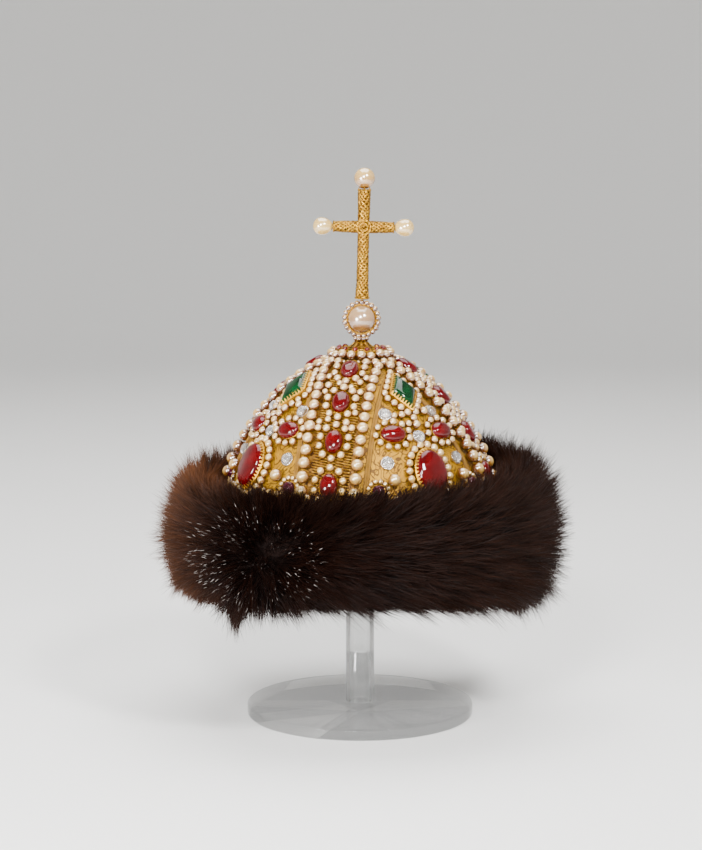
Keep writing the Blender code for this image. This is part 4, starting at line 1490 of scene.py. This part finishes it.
    def braids(self) -> None:
        """Gimp beside each string: a plait of three cords on a low strip.

        Cord k runs at x = A sin(w + 2 pi k / 3) and lift = h + B sin(2 (w + 2 pi k / 3)).
        """
        pitch, cords, wide, over, under = self.braid_pitch, 3, 0.0018, 0.0004, -0.0002
        length = np.arange(self.braid_start, DOME.length_at(BRAID_LATERAL, SEAT), pitch / 10)
        z = DOME.height_at(BRAID_LATERAL, length)
        section = np.array([[wide + 0.0001, under], [wide, over], [-wide, over], [-wide - 0.0001, under]])
        for quarter, band in enumerate(BANDS):
            parts = []
            for side in (-1, 1):
                frames = DOME.places(BAND_AZIMUTH[quarter], side * BRAID_LATERAL, z, LIFT)
                rings = frames.origins[:, None] + np.einsum("sk,nkj->nsj", section, frames.axes[:, [0, 2]])
                strip = lofted(rings[::4])
                # Painted shade: the strip under the cords is darkened throughout.
                strip.values["recess"] = np.full(len(strip.points), 0.8)
                parts.append(strip)
                for cord in range(cords):
                    wave = TAU * (length / pitch + cord / cords)
                    x = 0.00135 * np.sin(wave)[:, None] * frames.axes[:, 0]
                    up = (0.00055 + 0.00035 * np.sin(2 * wave))[:, None] * frames.axes[:, 2]
                    plaited = tube(frames.origins + x + up, frames.axes[:, 2], 0.00058, 6)
                    # Painted shade: each cord darker where it dips towards the strip.
                    plaited.values["recess"] = np.repeat(0.45 - 0.45 * np.sin(2 * wave), 6)
                    parts.append(plaited)
            nodes, gimp = [f"braid_{band}_{side}" for side in "lr"], [self.bench.palette.braid]
            self.bench.add(f"gimp_{band}", joined(parts), gimp, Slot.BRAID, nodes, creased=False)

    def bullion(self) -> None:
        """Couched loops on each band: wires that swing from side to side, x = x0 + A sin(wave)."""
        pitch = self.bullion_pitch
        length = np.arange(self.bullion_start, DOME.length_at(0, SEAT), pitch / 6)
        z = DOME.height_at(0, length)
        for quarter, band in enumerate(BANDS):
            wires = []
            for row, start in enumerate(self.bullion_rows):
                wave = TAU * (length / pitch + 0.37 * row) + 0.7 * np.sin(length * 500 + row * 2.1)
                x, lift = start + 0.0029 * np.sin(wave), 0.0007 + 0.0006 * np.cos(wave)
                frames = DOME.places(BAND_AZIMUTH[quarter], x, z, lift)
                wire = tube(frames.origins, frames.axes[:, 2], 0.00042, 4)
                # Painted shade: the wire darker where it dips to the cloth.
                wire.values["recess"] = np.repeat(0.35 - 0.35 * np.cos(wave), 4)
                wires.append(wire)
            made, finish = joined(wires), [self.bench.palette.wire]
            self.bench.add(f"bullion_{band}", made, finish, Slot.BRAID, creased=False)


@dataclass
class Cap:
    """The cloth cap, brocade outside and felt inside."""

    bench: Bench
    thickness: float = 0.003
    columns: int = 180

    def build(self) -> None:
        """Outer dome, rim and lining as one closed shell."""
        outside = DOME.profile(44)[1:]
        inside = DOME.profile(24, self.thickness)[1:][::-1]
        outer, inner, level, edge = DOME.radius, DOME.radius - self.thickness, 0.02, 0.0005
        rim = np.array([[outer, level], [outer, edge], [outer - edge, 0.0], [inner, 0.0], [inner, level]])
        top = DOME.wall + DOME.rise
        poles = (top, top - self.thickness)
        shell = turned(np.concatenate([outside, rim, inside]), self.columns, poles=poles)
        split = (len(outside) + 2) * self.columns
        sides = shell.faces[0]
        shell.faces = [sides[:split], sides[split:], *shell.faces[1:]]
        shell.smooth = [True] * 4
        shell.finish = [0, 1, 0, 1]
        # Painted shade on the brocade under each band's bullion, fading out before the strings.
        azimuth = np.arctan2(shell.points[:, 0], -shell.points[:, 1])
        lateral = beside_band(azimuth, np.hypot(shell.points[:, 0], shell.points[:, 1]))
        shell.values["recess"] = np.interp(lateral, [0.0145, 0.0195], [0.8, 0.0])
        palette = self.bench.palette
        self.bench.add("brocade_cap", shell, [palette.brocade, palette.lining], Slot.BROCADE, ["cap_shell"])


@dataclass
class FurBand:
    """The fur round the cap: a dark pelt and its hair, combed away from a parting."""

    bench: Bench
    rng: np.random.Generator
    depth: float = 0.037
    wider: float = 0.0015
    crest: float = 0.078
    back_rise: float = 0.005
    side_rise: float = 0.0065
    drop: float = 0.004
    side_drop: float = 0.008
    slump: float = 0.010
    limit: float = 0.1525
    shrink: float = 0.82
    parting: float = math.radians(-36)
    pieces: int = 6
    clumps: int = 640
    hairs: int = 29
    hair_width: float = 0.00034
    curl: float = 0.30
    sag: float = 0.07
    tail_clumps: int = 5
    tail_azimuth: float = math.radians(-44)
    tail_share: float = 0.83
    tail_length: float = 0.030
    glint_middle: tuple[float, float] = (-33.0, 0.53)
    glint_half: tuple[float, float] = (17.0, 0.17)
    section: tuple[tuple[float, float], ...] = (
        (0.17, 0.80), (0.30, 0.91), (0.42, 0.97), (0.58, 1.00), (0.80, 0.87), (0.96, 0.62),
        (1.00, 0.36), (0.91, 0.12), (0.62, 0.00), (0.30, 0.01),
    )

    def build(self) -> None:
        """The pelt, then the hair in several pieces."""
        self.pelt()
        for piece in range(self.pieces):
            self.hair(piece)

    def outline(self) -> Array:
        """Section as rows of (out, up), rounded by averaging along its length.

        Returns:
            The rows, closely spaced.
        """
        rows = np.array(self.section)
        length = np.r_[0, np.cumsum(np.linalg.norm(np.diff(rows, axis=0), axis=1))]
        at = np.linspace(0, length[-1], 160)
        fine = np.stack([np.interp(at, length, rows[:, k]) for k in (0, 1)], -1)
        padded = np.pad(fine, ((9, 9), (0, 0)), mode="edge")
        kernel = np.ones(19) / 19
        return np.stack([np.convolve(padded[:, k], kernel, "valid") for k in (0, 1)], -1)

    def surface(self, azimuth: Array, share: Array, shrink: float) -> tuple[Array, Array]:
        """Points on the band and directions off it: r = R + depth out, z = height up - drop.

        Args:
            azimuth: Azimuth of each point.
            share: Share of the way from the seat over the crest to the hem.
            shrink: Size of the section about its middle.

        Returns:
            The points and the unit directions.
        """
        rows = self.outline()
        at = np.linspace(0, 1, len(rows))
        out, up = (np.interp(share, at, 0.5 + (rows[:, k] - 0.5) * shrink) for k in (0, 1))
        slope = np.gradient(rows, axis=0)
        run, rise = (np.interp(share, at, slope[:, k]) for k in (0, 1))
        deep = self.depth + self.wider * np.cos(azimuth + math.radians(60))
        low = self.drop + self.side_drop * np.sin(azimuth) ** 2
        high = self.crest - self.back_rise * np.cos(azimuth) + self.side_rise * np.sin(azimuth) + low
        off = unit(ring_point(azimuth, -rise * high, run * deep))
        slump = self.slump * np.maximum(np.sin(azimuth), 0) ** 2 * np.clip((out - 0.4) / 0.6, 0, 1) * up
        return ring_point(azimuth, DOME.radius + deep * out, high * up - low - slump), off

    def pelt(self) -> None:
        """Backing that the hair stands on: the shrunk section, closed along the cap's wall."""
        columns, wall = 96, DOME.radius + 0.0006
        azimuth, share = turn_steps(columns), np.linspace(0, 1, 30)
        outside = np.stack([self.surface(azimuth, np.full(columns, s), self.shrink)[0] for s in share])
        inner = ((wall, 0.004), (wall, 0.020), (wall, 0.045), (DOME.radius - 0.0015, 0.058))
        rings = np.concatenate([outside, [ring_point(azimuth, r, z) for r, z in inner]])
        made = lofted(rings, loop=True)
        self.bench.add("fur_pelt", made, [self.bench.palette.pelt], Slot.FUR, ["fur_band"])

    def flow(self, azimuth: Array, share: Array, off: Array) -> Array:
        """Direction of the hair: round the band from the parting, up at the crest, down at the hem.

        Args:
            azimuth: Azimuth of each root.
            share: Share of the way from the seat over the crest to the hem.
            off: Direction off the band there.

        Returns:
            A unit direction for each root.
        """
        away = (azimuth - self.parting + math.pi) % TAU - math.pi
        around = np.tanh(2.2 * away) * np.cos(away / 2)
        stations, side = [0, 0.2, 0.36, 0.6, 0.8, 1.0], np.sin(azimuth) ** 2
        front = np.interp(share, stations, [0.75, 0.75, 0.40, -0.04, -0.12, 0.10])
        hang = np.interp(share, stations, [0, 0, 0, -0.12, -0.42, -0.70])
        climb = front + side * hang * np.where(azimuth > 0, 0.35, 1.0)
        lift = np.interp(share, [0, 0.5, 0.75, 1.0], [0.36, 0.34, 0.24, 0.08])
        lift = lift * (1 + np.interp(share, [0.5, 0.7], [0.9, 0.0]) * (1 - np.abs(around)))
        tangent = np.stack([np.cos(azimuth), np.sin(azimuth), 0 * azimuth], -1)
        inner = np.interp(share, [0, 0.25, 0.4], [0.35, 0.6, 1.0])
        return unit(tangent * (around * inner)[:, None] + off * lift[:, None] + UP * climb[:, None])

    def hair(self, piece: int) -> None:
        """Tapered ribbons in clumps: p(t) = root + L (t d + t^2 bend), tips drawn together.

        Args:
            piece: Number of the piece, of which each holds an even spread of the clumps.
        """
        rng, clumps, hairs = self.rng, self.clumps, self.hairs
        azimuth = rng.uniform(-math.pi, math.pi, clumps)
        share = rng.uniform(0.0, 1.0, clumps)
        tail = np.arange(clumps) < self.tail_clumps
        beside = rng.normal(0, 0.045, clumps)
        azimuth = np.where(tail, self.tail_azimuth + beside, azimuth)
        share = np.where(tail, self.tail_share, share)
        centre, off = self.surface(azimuth, share, self.shrink)
        flow = self.flow(azimuth, share, off)
        flow = np.where(tail[:, None], unit(np.array([-0.05, 0, -1.0]) + off * 0.15), flow)
        flow = unit(flow + rng.normal(0, 0.13, flow.shape))
        length = np.interp(share, [0, 0.2, 0.35, 0.7, 1.0], [0.014, 0.020, 0.034, 0.036, 0.028])
        length = length * (1 + 0.18 * np.exp(-((azimuth - 1.2) ** 2) / 0.25))
        short = np.exp(-(((np.degrees(azimuth) + 50) / 38) ** 2)) * np.interp(share, [0.5, 0.8], [0.0, 0.5])
        length = length * (1 - short) * rng.uniform(0.75, 1.12, clumps)
        length = np.where(tail, self.tail_length - 0.2 * np.abs(beside), length)

        spread = rng.normal(0, 1.0, (clumps, hairs, 2)) * [0.030, 0.034]
        az = (azimuth[:, None] + spread[..., 0]).ravel()
        sh = np.clip(share[:, None] + spread[..., 1], 0, 1).ravel()
        root, stand = self.surface(az, sh, self.shrink)
        gathered = (centre[:, None] - root.reshape(clumps, hairs, 3)).reshape(-1, 3)
        size = np.repeat(length, hairs) * rng.uniform(0.62, 1.08, clumps * hairs)
        tuft = np.repeat(np.where(azimuth < math.radians(-38), 0.85, 0.5), hairs)
        going = np.repeat(flow, hairs, 0) + (tuft / size)[:, None] * gathered
        going = unit(going + rng.normal(0, 0.07, root.shape))
        radius = np.linalg.norm(root[:, :2], axis=1)
        bend = -ring_point(az, 1.0, 0.0) * (self.curl * size / radius)[:, None] - UP * self.sag
        bend = bend + rng.normal(0, 0.05, root.shape)

        stations = np.array([0.0, 0.35, 0.70, 1.0])
        path = root[:, None] + size[:, None, None] * (
            going[:, None] * stations[:, None] + bend[:, None] * stations[:, None] ** 2
        )
        roll = rng.uniform(-1.1, 1.1, len(root))[:, None]
        face = unit(stand - going * (stand * going).sum(-1, keepdims=True))
        face = face * np.cos(roll) + np.cross(going, face) * np.sin(roll)
        side = np.cross(going, face)
        reach = np.linalg.norm(path[..., :2], axis=2, keepdims=True)
        path[..., :2] *= np.minimum(1.0, self.limit / reach)
        width = self.hair_width * rng.uniform(0.7, 1.25, len(root))
        half = (width[:, None] / 2 * np.array([1.0, 0.95, 0.6]))[..., None]
        left, right = path[:, :3] - half * side[:, None], path[:, :3] + half * side[:, None]
        points = np.concatenate([np.stack([left, right], 2).reshape(-1, 6, 3), path[:, 3:]], 1)
        shift = (np.arange(len(root)) * 7)[:, None]
        quads = np.concatenate([shift + [0, 1, 3, 2], shift + [2, 3, 5, 4]])
        made = Surface.of(points, [quads, shift + [4, 5, 6]])

        # Tips warmer and lighter on the left and very dark near the parting: partly the hair's own colour,
        # partly painted light from the left.
        degrees = np.degrees((az + math.pi) % TAU - math.pi)
        azimuths = [-180, -120, -80, -58, -40, 0, 40, 90, 180]
        warmth = np.interp(degrees, azimuths, [0.12, 0.4, 0.6, 0.26, 0.03, 0.02, 0.06, 0.05, 0.12])
        warmth = np.clip(warmth * rng.uniform(0.4, 1.3, len(root)), 0, 1)
        # Painted glints: pale dashes on a share of the hairs left of the parting, with lower roughness.
        (azimuth_at, share_at), (wide, high) = self.glint_middle, self.glint_half
        glints = np.hypot((degrees - azimuth_at) / wide, (sh - share_at) / high) < 1
        glints = glints & (rng.uniform(0, 1, len(root)) < 0.16)
        made.values = {
            "gloss": np.repeat(glints * rng.uniform(0.3, 1.0, len(root)), 7),
            "dash": np.tile([0, 0, 0, 0, 1.0, 1.0, 0], len(root)),
            "along": np.tile([0, 0, 0.35, 0.35, 0.7, 0.7, 1.0], len(root)),
            "warmth": np.repeat(warmth, 7),
            "tint": np.repeat(rng.uniform(0, 1, len(root)), 7),
        }
        name = f"fur_hair_{piece + 1}"
        self.bench.add(name, made, [self.bench.palette.hair], Slot.FUR, ["fur_band"], creased=False)


@dataclass
class FinialParts:
    """Plate, haloed pearl and cross."""

    bench: Bench
    rng: np.random.Generator
    bar: float = 0.00405
    foot: float = 0.0280
    top: float = 0.1040
    level: float = 0.0780
    reach: float = 0.0207
    winding: float = 0.0033
    ball_height: float = 0.0140
    ball_size: float = 0.019

    def build(self) -> None:
        """The plate in the crown's frame, the rest in the finial's."""
        self.plate()
        self.ball_and_halo()
        self.cross()
        self.cross_pearls()

    def under(self, r: Array) -> Array:
        """Height of the plate's underside, which keeps a quarter of the cap's fall."""
        share = 1 - (np.abs(r) / DOME.radius) ** DOME.power
        return DOME.wall + DOME.rise * (1 - 0.25 * (1 - share ** (1 / DOME.power))) + LIFT

    def ring_wire(self, radius: float, lift: float, thick: float, beads: int, steps: int) -> Surface:
        """Beaded wire ring round the plate.

        Args:
            radius: Its radius.
            lift: Its height over the underside.
            thick: Radius of the wire.
            beads: How often the wire swells.
            steps: Steps round the ring.

        Returns:
            The ring.
        """
        middle = UP * (self.under(np.array(radius)) + lift)
        return wire_ring(middle, -BACK, SIDE, radius, beaded(thick, beads, steps, 0.3))

    def loops(
        self, count: int, radius: float, lift: float, half: tuple[float, float], tilt: float
    ) -> list[Surface]:
        """Small oval loops of wire stood round the plate.

        Args:
            count: How many.
            radius: Radius of their middles.
            lift: Height of their middles over the underside.
            half: Half their width round the plate and half their length up or in.
            tilt: Turn of the loops, 0 flat and a quarter turn upright.

        Returns:
            The loops.
        """
        steps = 22
        turn = turn_steps(steps)
        made = []
        for azimuth in turn_steps(count, 0.5):
            along, across = half[1] * np.cos(turn), half[0] * np.sin(turn)
            r = radius - along * math.cos(tilt)
            z = self.under(np.array(radius)) + lift + along * math.sin(tilt)
            path = ring_point(azimuth + across / radius, r, z)
            face = ring_point(np.full(steps, azimuth), math.sin(tilt), math.cos(tilt))
            made.append(tube(path, face, 0.00034, 5, loop=True))
        return made

    def plate(self) -> None:
        """Filigree plate: a base, beaded rims, wire loops on its side and top, and its collar."""
        r = np.array([0.006, 0.010, 0.0135, 0.0160, 0.0166, 0.0168])
        top = np.c_[r, self.under(r) + [0.0034, 0.0034, 0.0034, 0.0033, 0.0028, 0.0003]]
        below = np.array([0.0160, 0.006])
        base = turned(np.concatenate([top, np.c_[below, self.under(below)]]), 60, loop=True)
        # Painted shade: the base under the wires darkened throughout.
        base.values["recess"] = np.full(len(base.points), 0.8)
        parts = [
            base,
            self.ring_wire(0.0168, 0.0036, 0.0006, 44, 264),
            self.ring_wire(0.0169, 0.0006, 0.0006, 44, 264),
            self.ring_wire(0.0118, 0.0038, 0.0005, 32, 192),
            *self.loops(30, 0.0171, 0.0021, (0.0013, 0.0012), math.pi / 2),
            *self.loops(16, 0.0103, 0.0039, (0.0014, 0.0014), 0.0),
            *self.loops(9, 0.0064, 0.0062, (0.0017, 0.0022), math.pi / 4),
            self.collar(),
        ]
        palette = self.bench.palette
        self.bench.add("filigree_plate", joined(parts), [palette.gold], Slot.GOLD, ["finial_plate"])
        azimuth, radius = turn_steps(12, 0.5), 0.0152
        off = ring_point(azimuth, 0.5, 0.866)
        sideways = np.stack([np.cos(azimuth), np.sin(azimuth), 0 * azimuth], -1)
        origins = ring_point(azimuth, radius, self.under(np.array(radius)) + 0.0036)
        axes = np.stack([sideways, np.cross(off, sideways), off], 1)
        places = Places(origins, axes, np.ones(len(azimuth)))
        gems, rims = copies(PLATE_STONE.gem(), places), copies(PLATE_STONE.bezel(), places)
        self.bench.add("plate_stones", gems, [palette.bright_red], Slot.RED, ["finial_plate"])
        self.bench.add("plate_stone_settings", rims, [palette.gold], Slot.GOLD)
        seeds = ring_point(turn_steps(8, 0.5), 0.0042, self.under(np.array(0.0)) + 0.0102)
        pearls = copies(ball(), Places.upright(seeds, 0.0033), tint=np.full(len(seeds), 0.1))
        self.bench.add("collar_pearls", pearls, [palette.pearl], Slot.PEARL, creased=False)

    def collar(self) -> Surface:
        """Petalled collar: rings whose radius swells nine times round, r = R (1 + a cos 9 angle).

        Returns:
            The collar.
        """
        angle = turn_steps(108)
        rows = [[2.8, 5.7], [4.2, 5.0], [5.2, 3.8], [6.2, 2.6], [7.6, 1.6], [8.7, 0.9], [8.4, 0.2]]
        rows = np.array(rows) * MM
        petals = 1 + np.linspace(0.03, 0.14, len(rows))[:, None] * np.cos(9 * angle)
        radius, foot = rows[:, :1] * petals, float(self.under(np.array(0.0))) + 0.0036
        z = foot + rows[:, 1:] + 0 * radius
        rings = np.stack([radius * np.sin(angle), -radius * np.cos(angle), z], -1)
        made = lofted(rings, poles=(foot + 0.0058, foot))
        # Painted shade: darker in the valleys between the petals.
        valley = np.clip(0.45 - 0.55 * np.cos(9 * angle) + 0 * radius, 0, 0.8)
        made.values["recess"] = np.r_[valley.ravel(), 0, 0]
        return made

    def ball_and_halo(self) -> None:
        """The rosy ball pearl, and small pearls threaded on a ring of wire that faces the front."""
        palette = self.bench.palette
        middle = UP * self.ball_height
        one = copies(ball(40, 20, 0.35), Places.upright(middle, self.ball_size), tint=np.array([0.12]))
        finish = [palette.ball]
        self.bench.add("ball_pearl_finial", one, finish, Slot.PEARL, ["ball_pearl"], FINIAL, creased=False)
        count = 21
        angle = turn_steps(count)
        origins = middle + np.stack([np.sin(angle), 0 * angle, np.cos(angle)], -1) * 0.01175
        places = Places.upright(origins, 0.0038 * self.rng.normal(1, 0.05, count))
        small = copies(ball(), places, tint=self.rng.uniform(0, 0.5, count))
        nodes = ["pearl_halo"]
        self.bench.add("halo_pearls", small, [palette.pearl], Slot.PEARL, nodes, FINIAL, creased=False)
        steps, twists = 240, 30
        wave = twists * turn_steps(steps)
        parts = []
        for turn in (0.0, math.pi):
            radius = 0.0112 + 0.0007 * np.cos(wave + turn)
            off = middle + np.outer(0.0008 + 0.0006 * np.sin(wave + turn), BACK)
            parts.append(wire_ring(off, UP, SIDE, radius, np.full(steps, 0.0005), 5))
        parts.append(wire_ring(middle, UP, SIDE, 0.0103, np.full(steps, 0.0009), 8))
        self.bench.add("halo_wire", joined(parts), [palette.gold], Slot.GOLD, nodes, FINIAL, creased=False)

    def wound_bar(self, start: Array, end: Array, waists: Sequence[float], rows: int) -> Surface:
        """Bar wound loosely with crossing wires: r = R w (0.91 + 0.15 weave + grain).

        The weave is the higher of |cos| of the two hands of the winding, its low part cut off.

        Args:
            start: Its first end.
            end: Its other end.
            waists: Shares of the radius at equal steps along it.
            rows: Rows of points along it.

        Returns:
            The bar, with painted shade by how deep each point lies between the wires.
        """
        turn, t = turn_steps(56), np.linspace(0, 1, rows)[:, None]
        along, length = end - start, float(np.linalg.norm(end - start))
        wave = t * length / self.winding * math.pi
        loose = 0.55 * np.sin(2 * turn + 0.31 * wave) + 0.45 * np.sin(turn - 0.83 * wave)
        weave = np.maximum(np.abs(np.cos(4 * turn + wave + loose)), np.abs(np.cos(4 * turn - wave + loose)))
        weave = np.clip((weave - 0.55) / 0.45, 0, 1)
        grain = self.rng.normal(0, 0.022, weave.shape)
        waist = np.interp(t, np.linspace(0, 1, len(waists)), waists)
        radius = self.bar * waist * (0.91 + 0.15 * weave + grain)
        side = unit(np.cross(along, BACK))
        across = np.outer(np.cos(turn), side) + np.outer(np.sin(turn), BACK)
        rings = (start + along * t)[:, None] + radius[..., None] * across
        made = lofted(rings)
        # Painted shade: darker between the wires.
        made.values["recess"] = (1 - weave).ravel() ** 1.5 * 0.9
        return made

    def cross(self) -> None:
        """Two wound bars, the coil where they meet, a ring at each end and prongs on top."""
        arm, level = SIDE * self.reach, UP * self.level
        parts = [
            self.wound_bar(UP * self.foot, UP * self.top, (1.14, 1.0, 0.97, 0.95, 0.97, 1.0, 1.08), 250),
            self.wound_bar(level - arm, level + arm, (0.82, 0.95, 1.0, 1.0, 1.0, 0.95, 0.82), 150),
        ]
        for face in (-1, 1):
            for radius, thick, out in ((0.0048, 0.0008, 0.0041), (0.0027, 0.0007, 0.0046)):
                middle = level + BACK * face * out
                parts.append(wire_ring(middle, UP, SIDE, radius, beaded(thick, 12, 60)))
            # These gold beads carry the ball's painted shade towards their foot.
            parts.append(copies(ball(), Places.upright(level + BACK * face * 0.0047, 0.0026)))
        for middle, aim, radius in (
            (UP * (self.top - 0.0006), UP, 0.0041),
            (UP * (self.foot + 0.0009), UP, 0.0047),
            (level - arm, SIDE, 0.0034),
            (level + arm, SIDE, 0.0034),
        ):
            parts.append(wire_ring(middle, BACK, np.cross(aim, BACK), radius, beaded(0.0006, 12, 48)))
        spike = turned(np.array([[0.0001, 0.0024], [0.0005, 0.0014], [0.0008, 0.0]]), 6)
        spin = turn_steps(6, 0.5)
        feet = np.stack([0.0043 * np.cos(spin), 0.0043 * np.sin(spin), 0 * spin + self.top - 0.0008], -1)
        parts.append(copies(spike, Places.upright(feet, np.ones(len(spin)))))
        self.bench.add("wound_cross", joined(parts), [self.bench.palette.gold], Slot.GOLD, ["cross"], FINIAL)

    def cross_pearls(self) -> None:
        """A round pearl on top and a drop pearl at each end of the arms."""
        pearl = [self.bench.palette.pearl]
        top = copies(ball(32, 16, 0.35), Places.upright(UP * 0.11155, 0.0145), tint=np.array([0.1]))
        self.bench.add("top_pearl", top, pearl, Slot.PEARL, ["cross_pearl_top"], FINIAL, creased=False)
        t = math.pi * np.arange(1, 18) / 18
        profile = np.c_[0.0060 * np.sin(t) * (1 + 0.16 * np.cos(t)), 0.0070 * (1 + np.cos(t))]
        drop = turned(profile, 32, poles=(0.0140, 0.0))
        for name, sign in (("left", -1), ("right", 1)):
            axes = np.array([[[0, 0, -sign], [0, 1, 0], [sign, 0, 0]]], float)
            place = Places(np.array([[sign * 0.0210, 0, self.level]]), axes, np.ones(1))
            piece, nodes = copies(drop, place, tint=np.array([0.08])), [f"cross_pearl_{name}"]
            self.bench.add(f"drop_pearl_{name}", piece, pearl, Slot.PEARL, nodes, FINIAL, creased=False)


@dataclass
class Stand:
    """The clear acrylic stand: foot, tube and domed head."""

    bench: Bench
    foot: float = 0.080
    foot_height: float = 0.008
    edge: float = 0.0015
    post: float = 0.010
    bore: float = 0.007
    head: float = 0.060
    head_under: float = 0.22606
    head_centre: float = 0.19006
    joint: float = 0.045

    def build(self) -> None:
        """Each part turned round the upright."""
        clear, sheet = [self.bench.palette.acrylic], [self.bench.palette.acrylic_sheet]
        bend = np.linspace(0, math.pi / 2, 5)
        rim_r = self.foot - self.edge + self.edge * np.sin(bend)
        rim_z = self.edge * (1 - np.cos(bend))
        profile = np.concatenate([np.c_[rim_r, self.foot_height - rim_z], np.c_[rim_r, rim_z][::-1]])
        disc = turned(profile, 128, poles=(self.foot_height, 0.0))
        self.bench.add("foot_disc", disc, sheet, Slot.CLEAR, ["stand_foot"], UPRIGHT)
        low, high, joint, eased = self.foot_height + LIFT, self.head_under - LIFT, self.joint, 0.0004
        z = np.array([high, high - eased, joint + 0.0003, joint, joint - 0.0003, low + eased, low])
        r = self.post - np.array([eased, 0, 0, 0.0002, 0, 0, eased])
        wall = np.concatenate([np.c_[r, z], [[self.bore, low], [self.bore, high]]])
        self.bench.add("post_tube", turned(wall, 72, loop=True), clear, Slot.CLEAR, ["stand_post"], UPRIGHT)
        reach = math.acos((self.head_under - self.head_centre) / self.head)
        angle = np.linspace(0, reach, 16)[1:]
        cap = np.c_[self.head * np.sin(angle), self.head_centre + self.head * np.cos(angle)]
        dome = turned(cap, 96, poles=(self.head_centre + self.head, self.head_under))
        self.bench.add("head_cap", dome, clear, Slot.CLEAR, ["stand_head"], UPRIGHT)


@dataclass
class Studio:
    """Plain pale surroundings, soft light and the camera."""

    lens: float = 96.8
    distance: float = 1.6
    elevation: float = math.radians(7.5)
    aim: tuple[float, float, float] = (-0.0064, 0.0, 0.2056)
    lit: float = 0.22
    softboxes: tuple[tuple[str, float, float, float, tuple[float, float], float], ...] = (
        ("softbox_left", -41.0, 0.34, 1.25, (0.28, 0.34), 25.0),
        ("softbox_right", 30.0, 1.10, 1.15, (0.24, 0.24), 25.0),
        ("softbox_front", -10.0, 0.85, 1.35, (0.30, 0.26), 29.0),
        ("softbox_top", 180.0, 1.9, 0.3, (1.6, 1.6), 56.0),
    )

    def build(self) -> None:
        """Floor, world, lights and camera."""
        self.floor()
        self.world()
        for softbox in self.softboxes:
            self.softbox(*softbox)
        self.camera()

    def floor(self) -> None:
        """Floor that curves up into a wall all round, as one turned sheet."""
        bend = np.linspace(0, math.pi / 2, 14)
        r = np.r_[0.3, 1.0, 2.4 + 1.6 * np.sin(bend), 4.0]
        z = np.r_[0.0, 0.0, 1.6 * (1 - np.cos(bend)), 4.0]
        sheet = turned(np.c_[r, z], 96, poles=(0.0, 4.0))
        mesh = bpy.data.meshes.new("studio_floor")
        faces = [face.tolist() for group in (sheet.faces[0], sheet.faces[1]) for face in group]
        mesh.from_pydata(sheet.points[:-1].tolist(), [], faces)
        mesh.shade_smooth()
        pale = FeltFinish("pale_paper", colour(0.92, 0.91, 0.89), 0.8, second=colour(0.91, 0.90, 0.88))
        mesh.materials.append(pale.make())
        sweep = bpy.data.objects.new("studio_floor", mesh)
        bpy.context.scene.collection.objects.link(sweep)

    def world(self) -> None:
        """Even pale light from all round."""
        world = bpy.data.worlds.new("studio")
        world.use_nodes = True
        shader = world.node_tree.nodes["Background"]
        shader.inputs["Color"].default_value = (0.95, 0.97, 1.0, 1.0)
        shader.inputs["Strength"].default_value = 0.30
        bpy.context.scene.world = world

    def softbox(
        self, name: str, degrees: float, height: float, out: float, size: tuple[float, float], power: float
    ) -> None:
        """Area light aimed at the crown.

        Args:
            name: Its name.
            degrees: Azimuth where it stands, from the front towards +X.
            height: Height of its middle.
            out: Distance from the upright.
            size: Width and height.
            power: Power in watts.
        """
        data = bpy.data.lights.new(name, "AREA")
        data.shape, data.size, data.size_y, data.energy = "RECTANGLE", *size, power
        light = bpy.data.objects.new(name, data)
        bpy.context.scene.collection.objects.link(light)
        place = ring_point(np.array(math.radians(degrees)), np.array(out), np.array(height))
        light.location = place
        light.rotation_euler = self.towards(place, UP * self.lit)

    def towards(self, place: Array, target: Array) -> tuple[float, float, float]:
        """Turn of something at a place that looks along its -Z at a target, level.

        Args:
            place: Where it is.
            target: What it looks at.

        Returns:
            The turn as Euler angles.
        """
        x, y, z = target - place
        return (math.atan2(math.hypot(x, y), -z), 0.0, math.atan2(y, x) - math.pi / 2)

    def camera(self) -> None:
        """Camera in front, a little above the rim."""
        data = bpy.data.cameras.new("camera")
        data.lens, data.sensor_width = self.lens, 36.0
        data.clip_start, data.clip_end = 0.05, 50.0
        camera = bpy.data.objects.new("camera", data)
        bpy.context.scene.collection.objects.link(camera)
        aim = np.array(self.aim)
        back = np.array([0, -math.cos(self.elevation), math.sin(self.elevation)])
        camera.location = aim + back * self.distance
        camera.rotation_euler = (math.pi / 2 - self.elevation, 0.0, 0.0)
        bpy.context.scene.camera = camera


def main() -> None:
    """Build the crown from the stand upwards, then the studio round it."""
    logging.basicConfig(level=logging.INFO, format="%(message)s")
    rng = np.random.default_rng(23)
    bench = Bench(Palette.made())
    Stand(bench).build()
    Cap(bench).build()
    Dressing(bench, rng).build()
    FurBand(bench, rng).build()
    FinialParts(bench, rng).build()
    Studio().build()


if __name__ == "__main__":
    main()
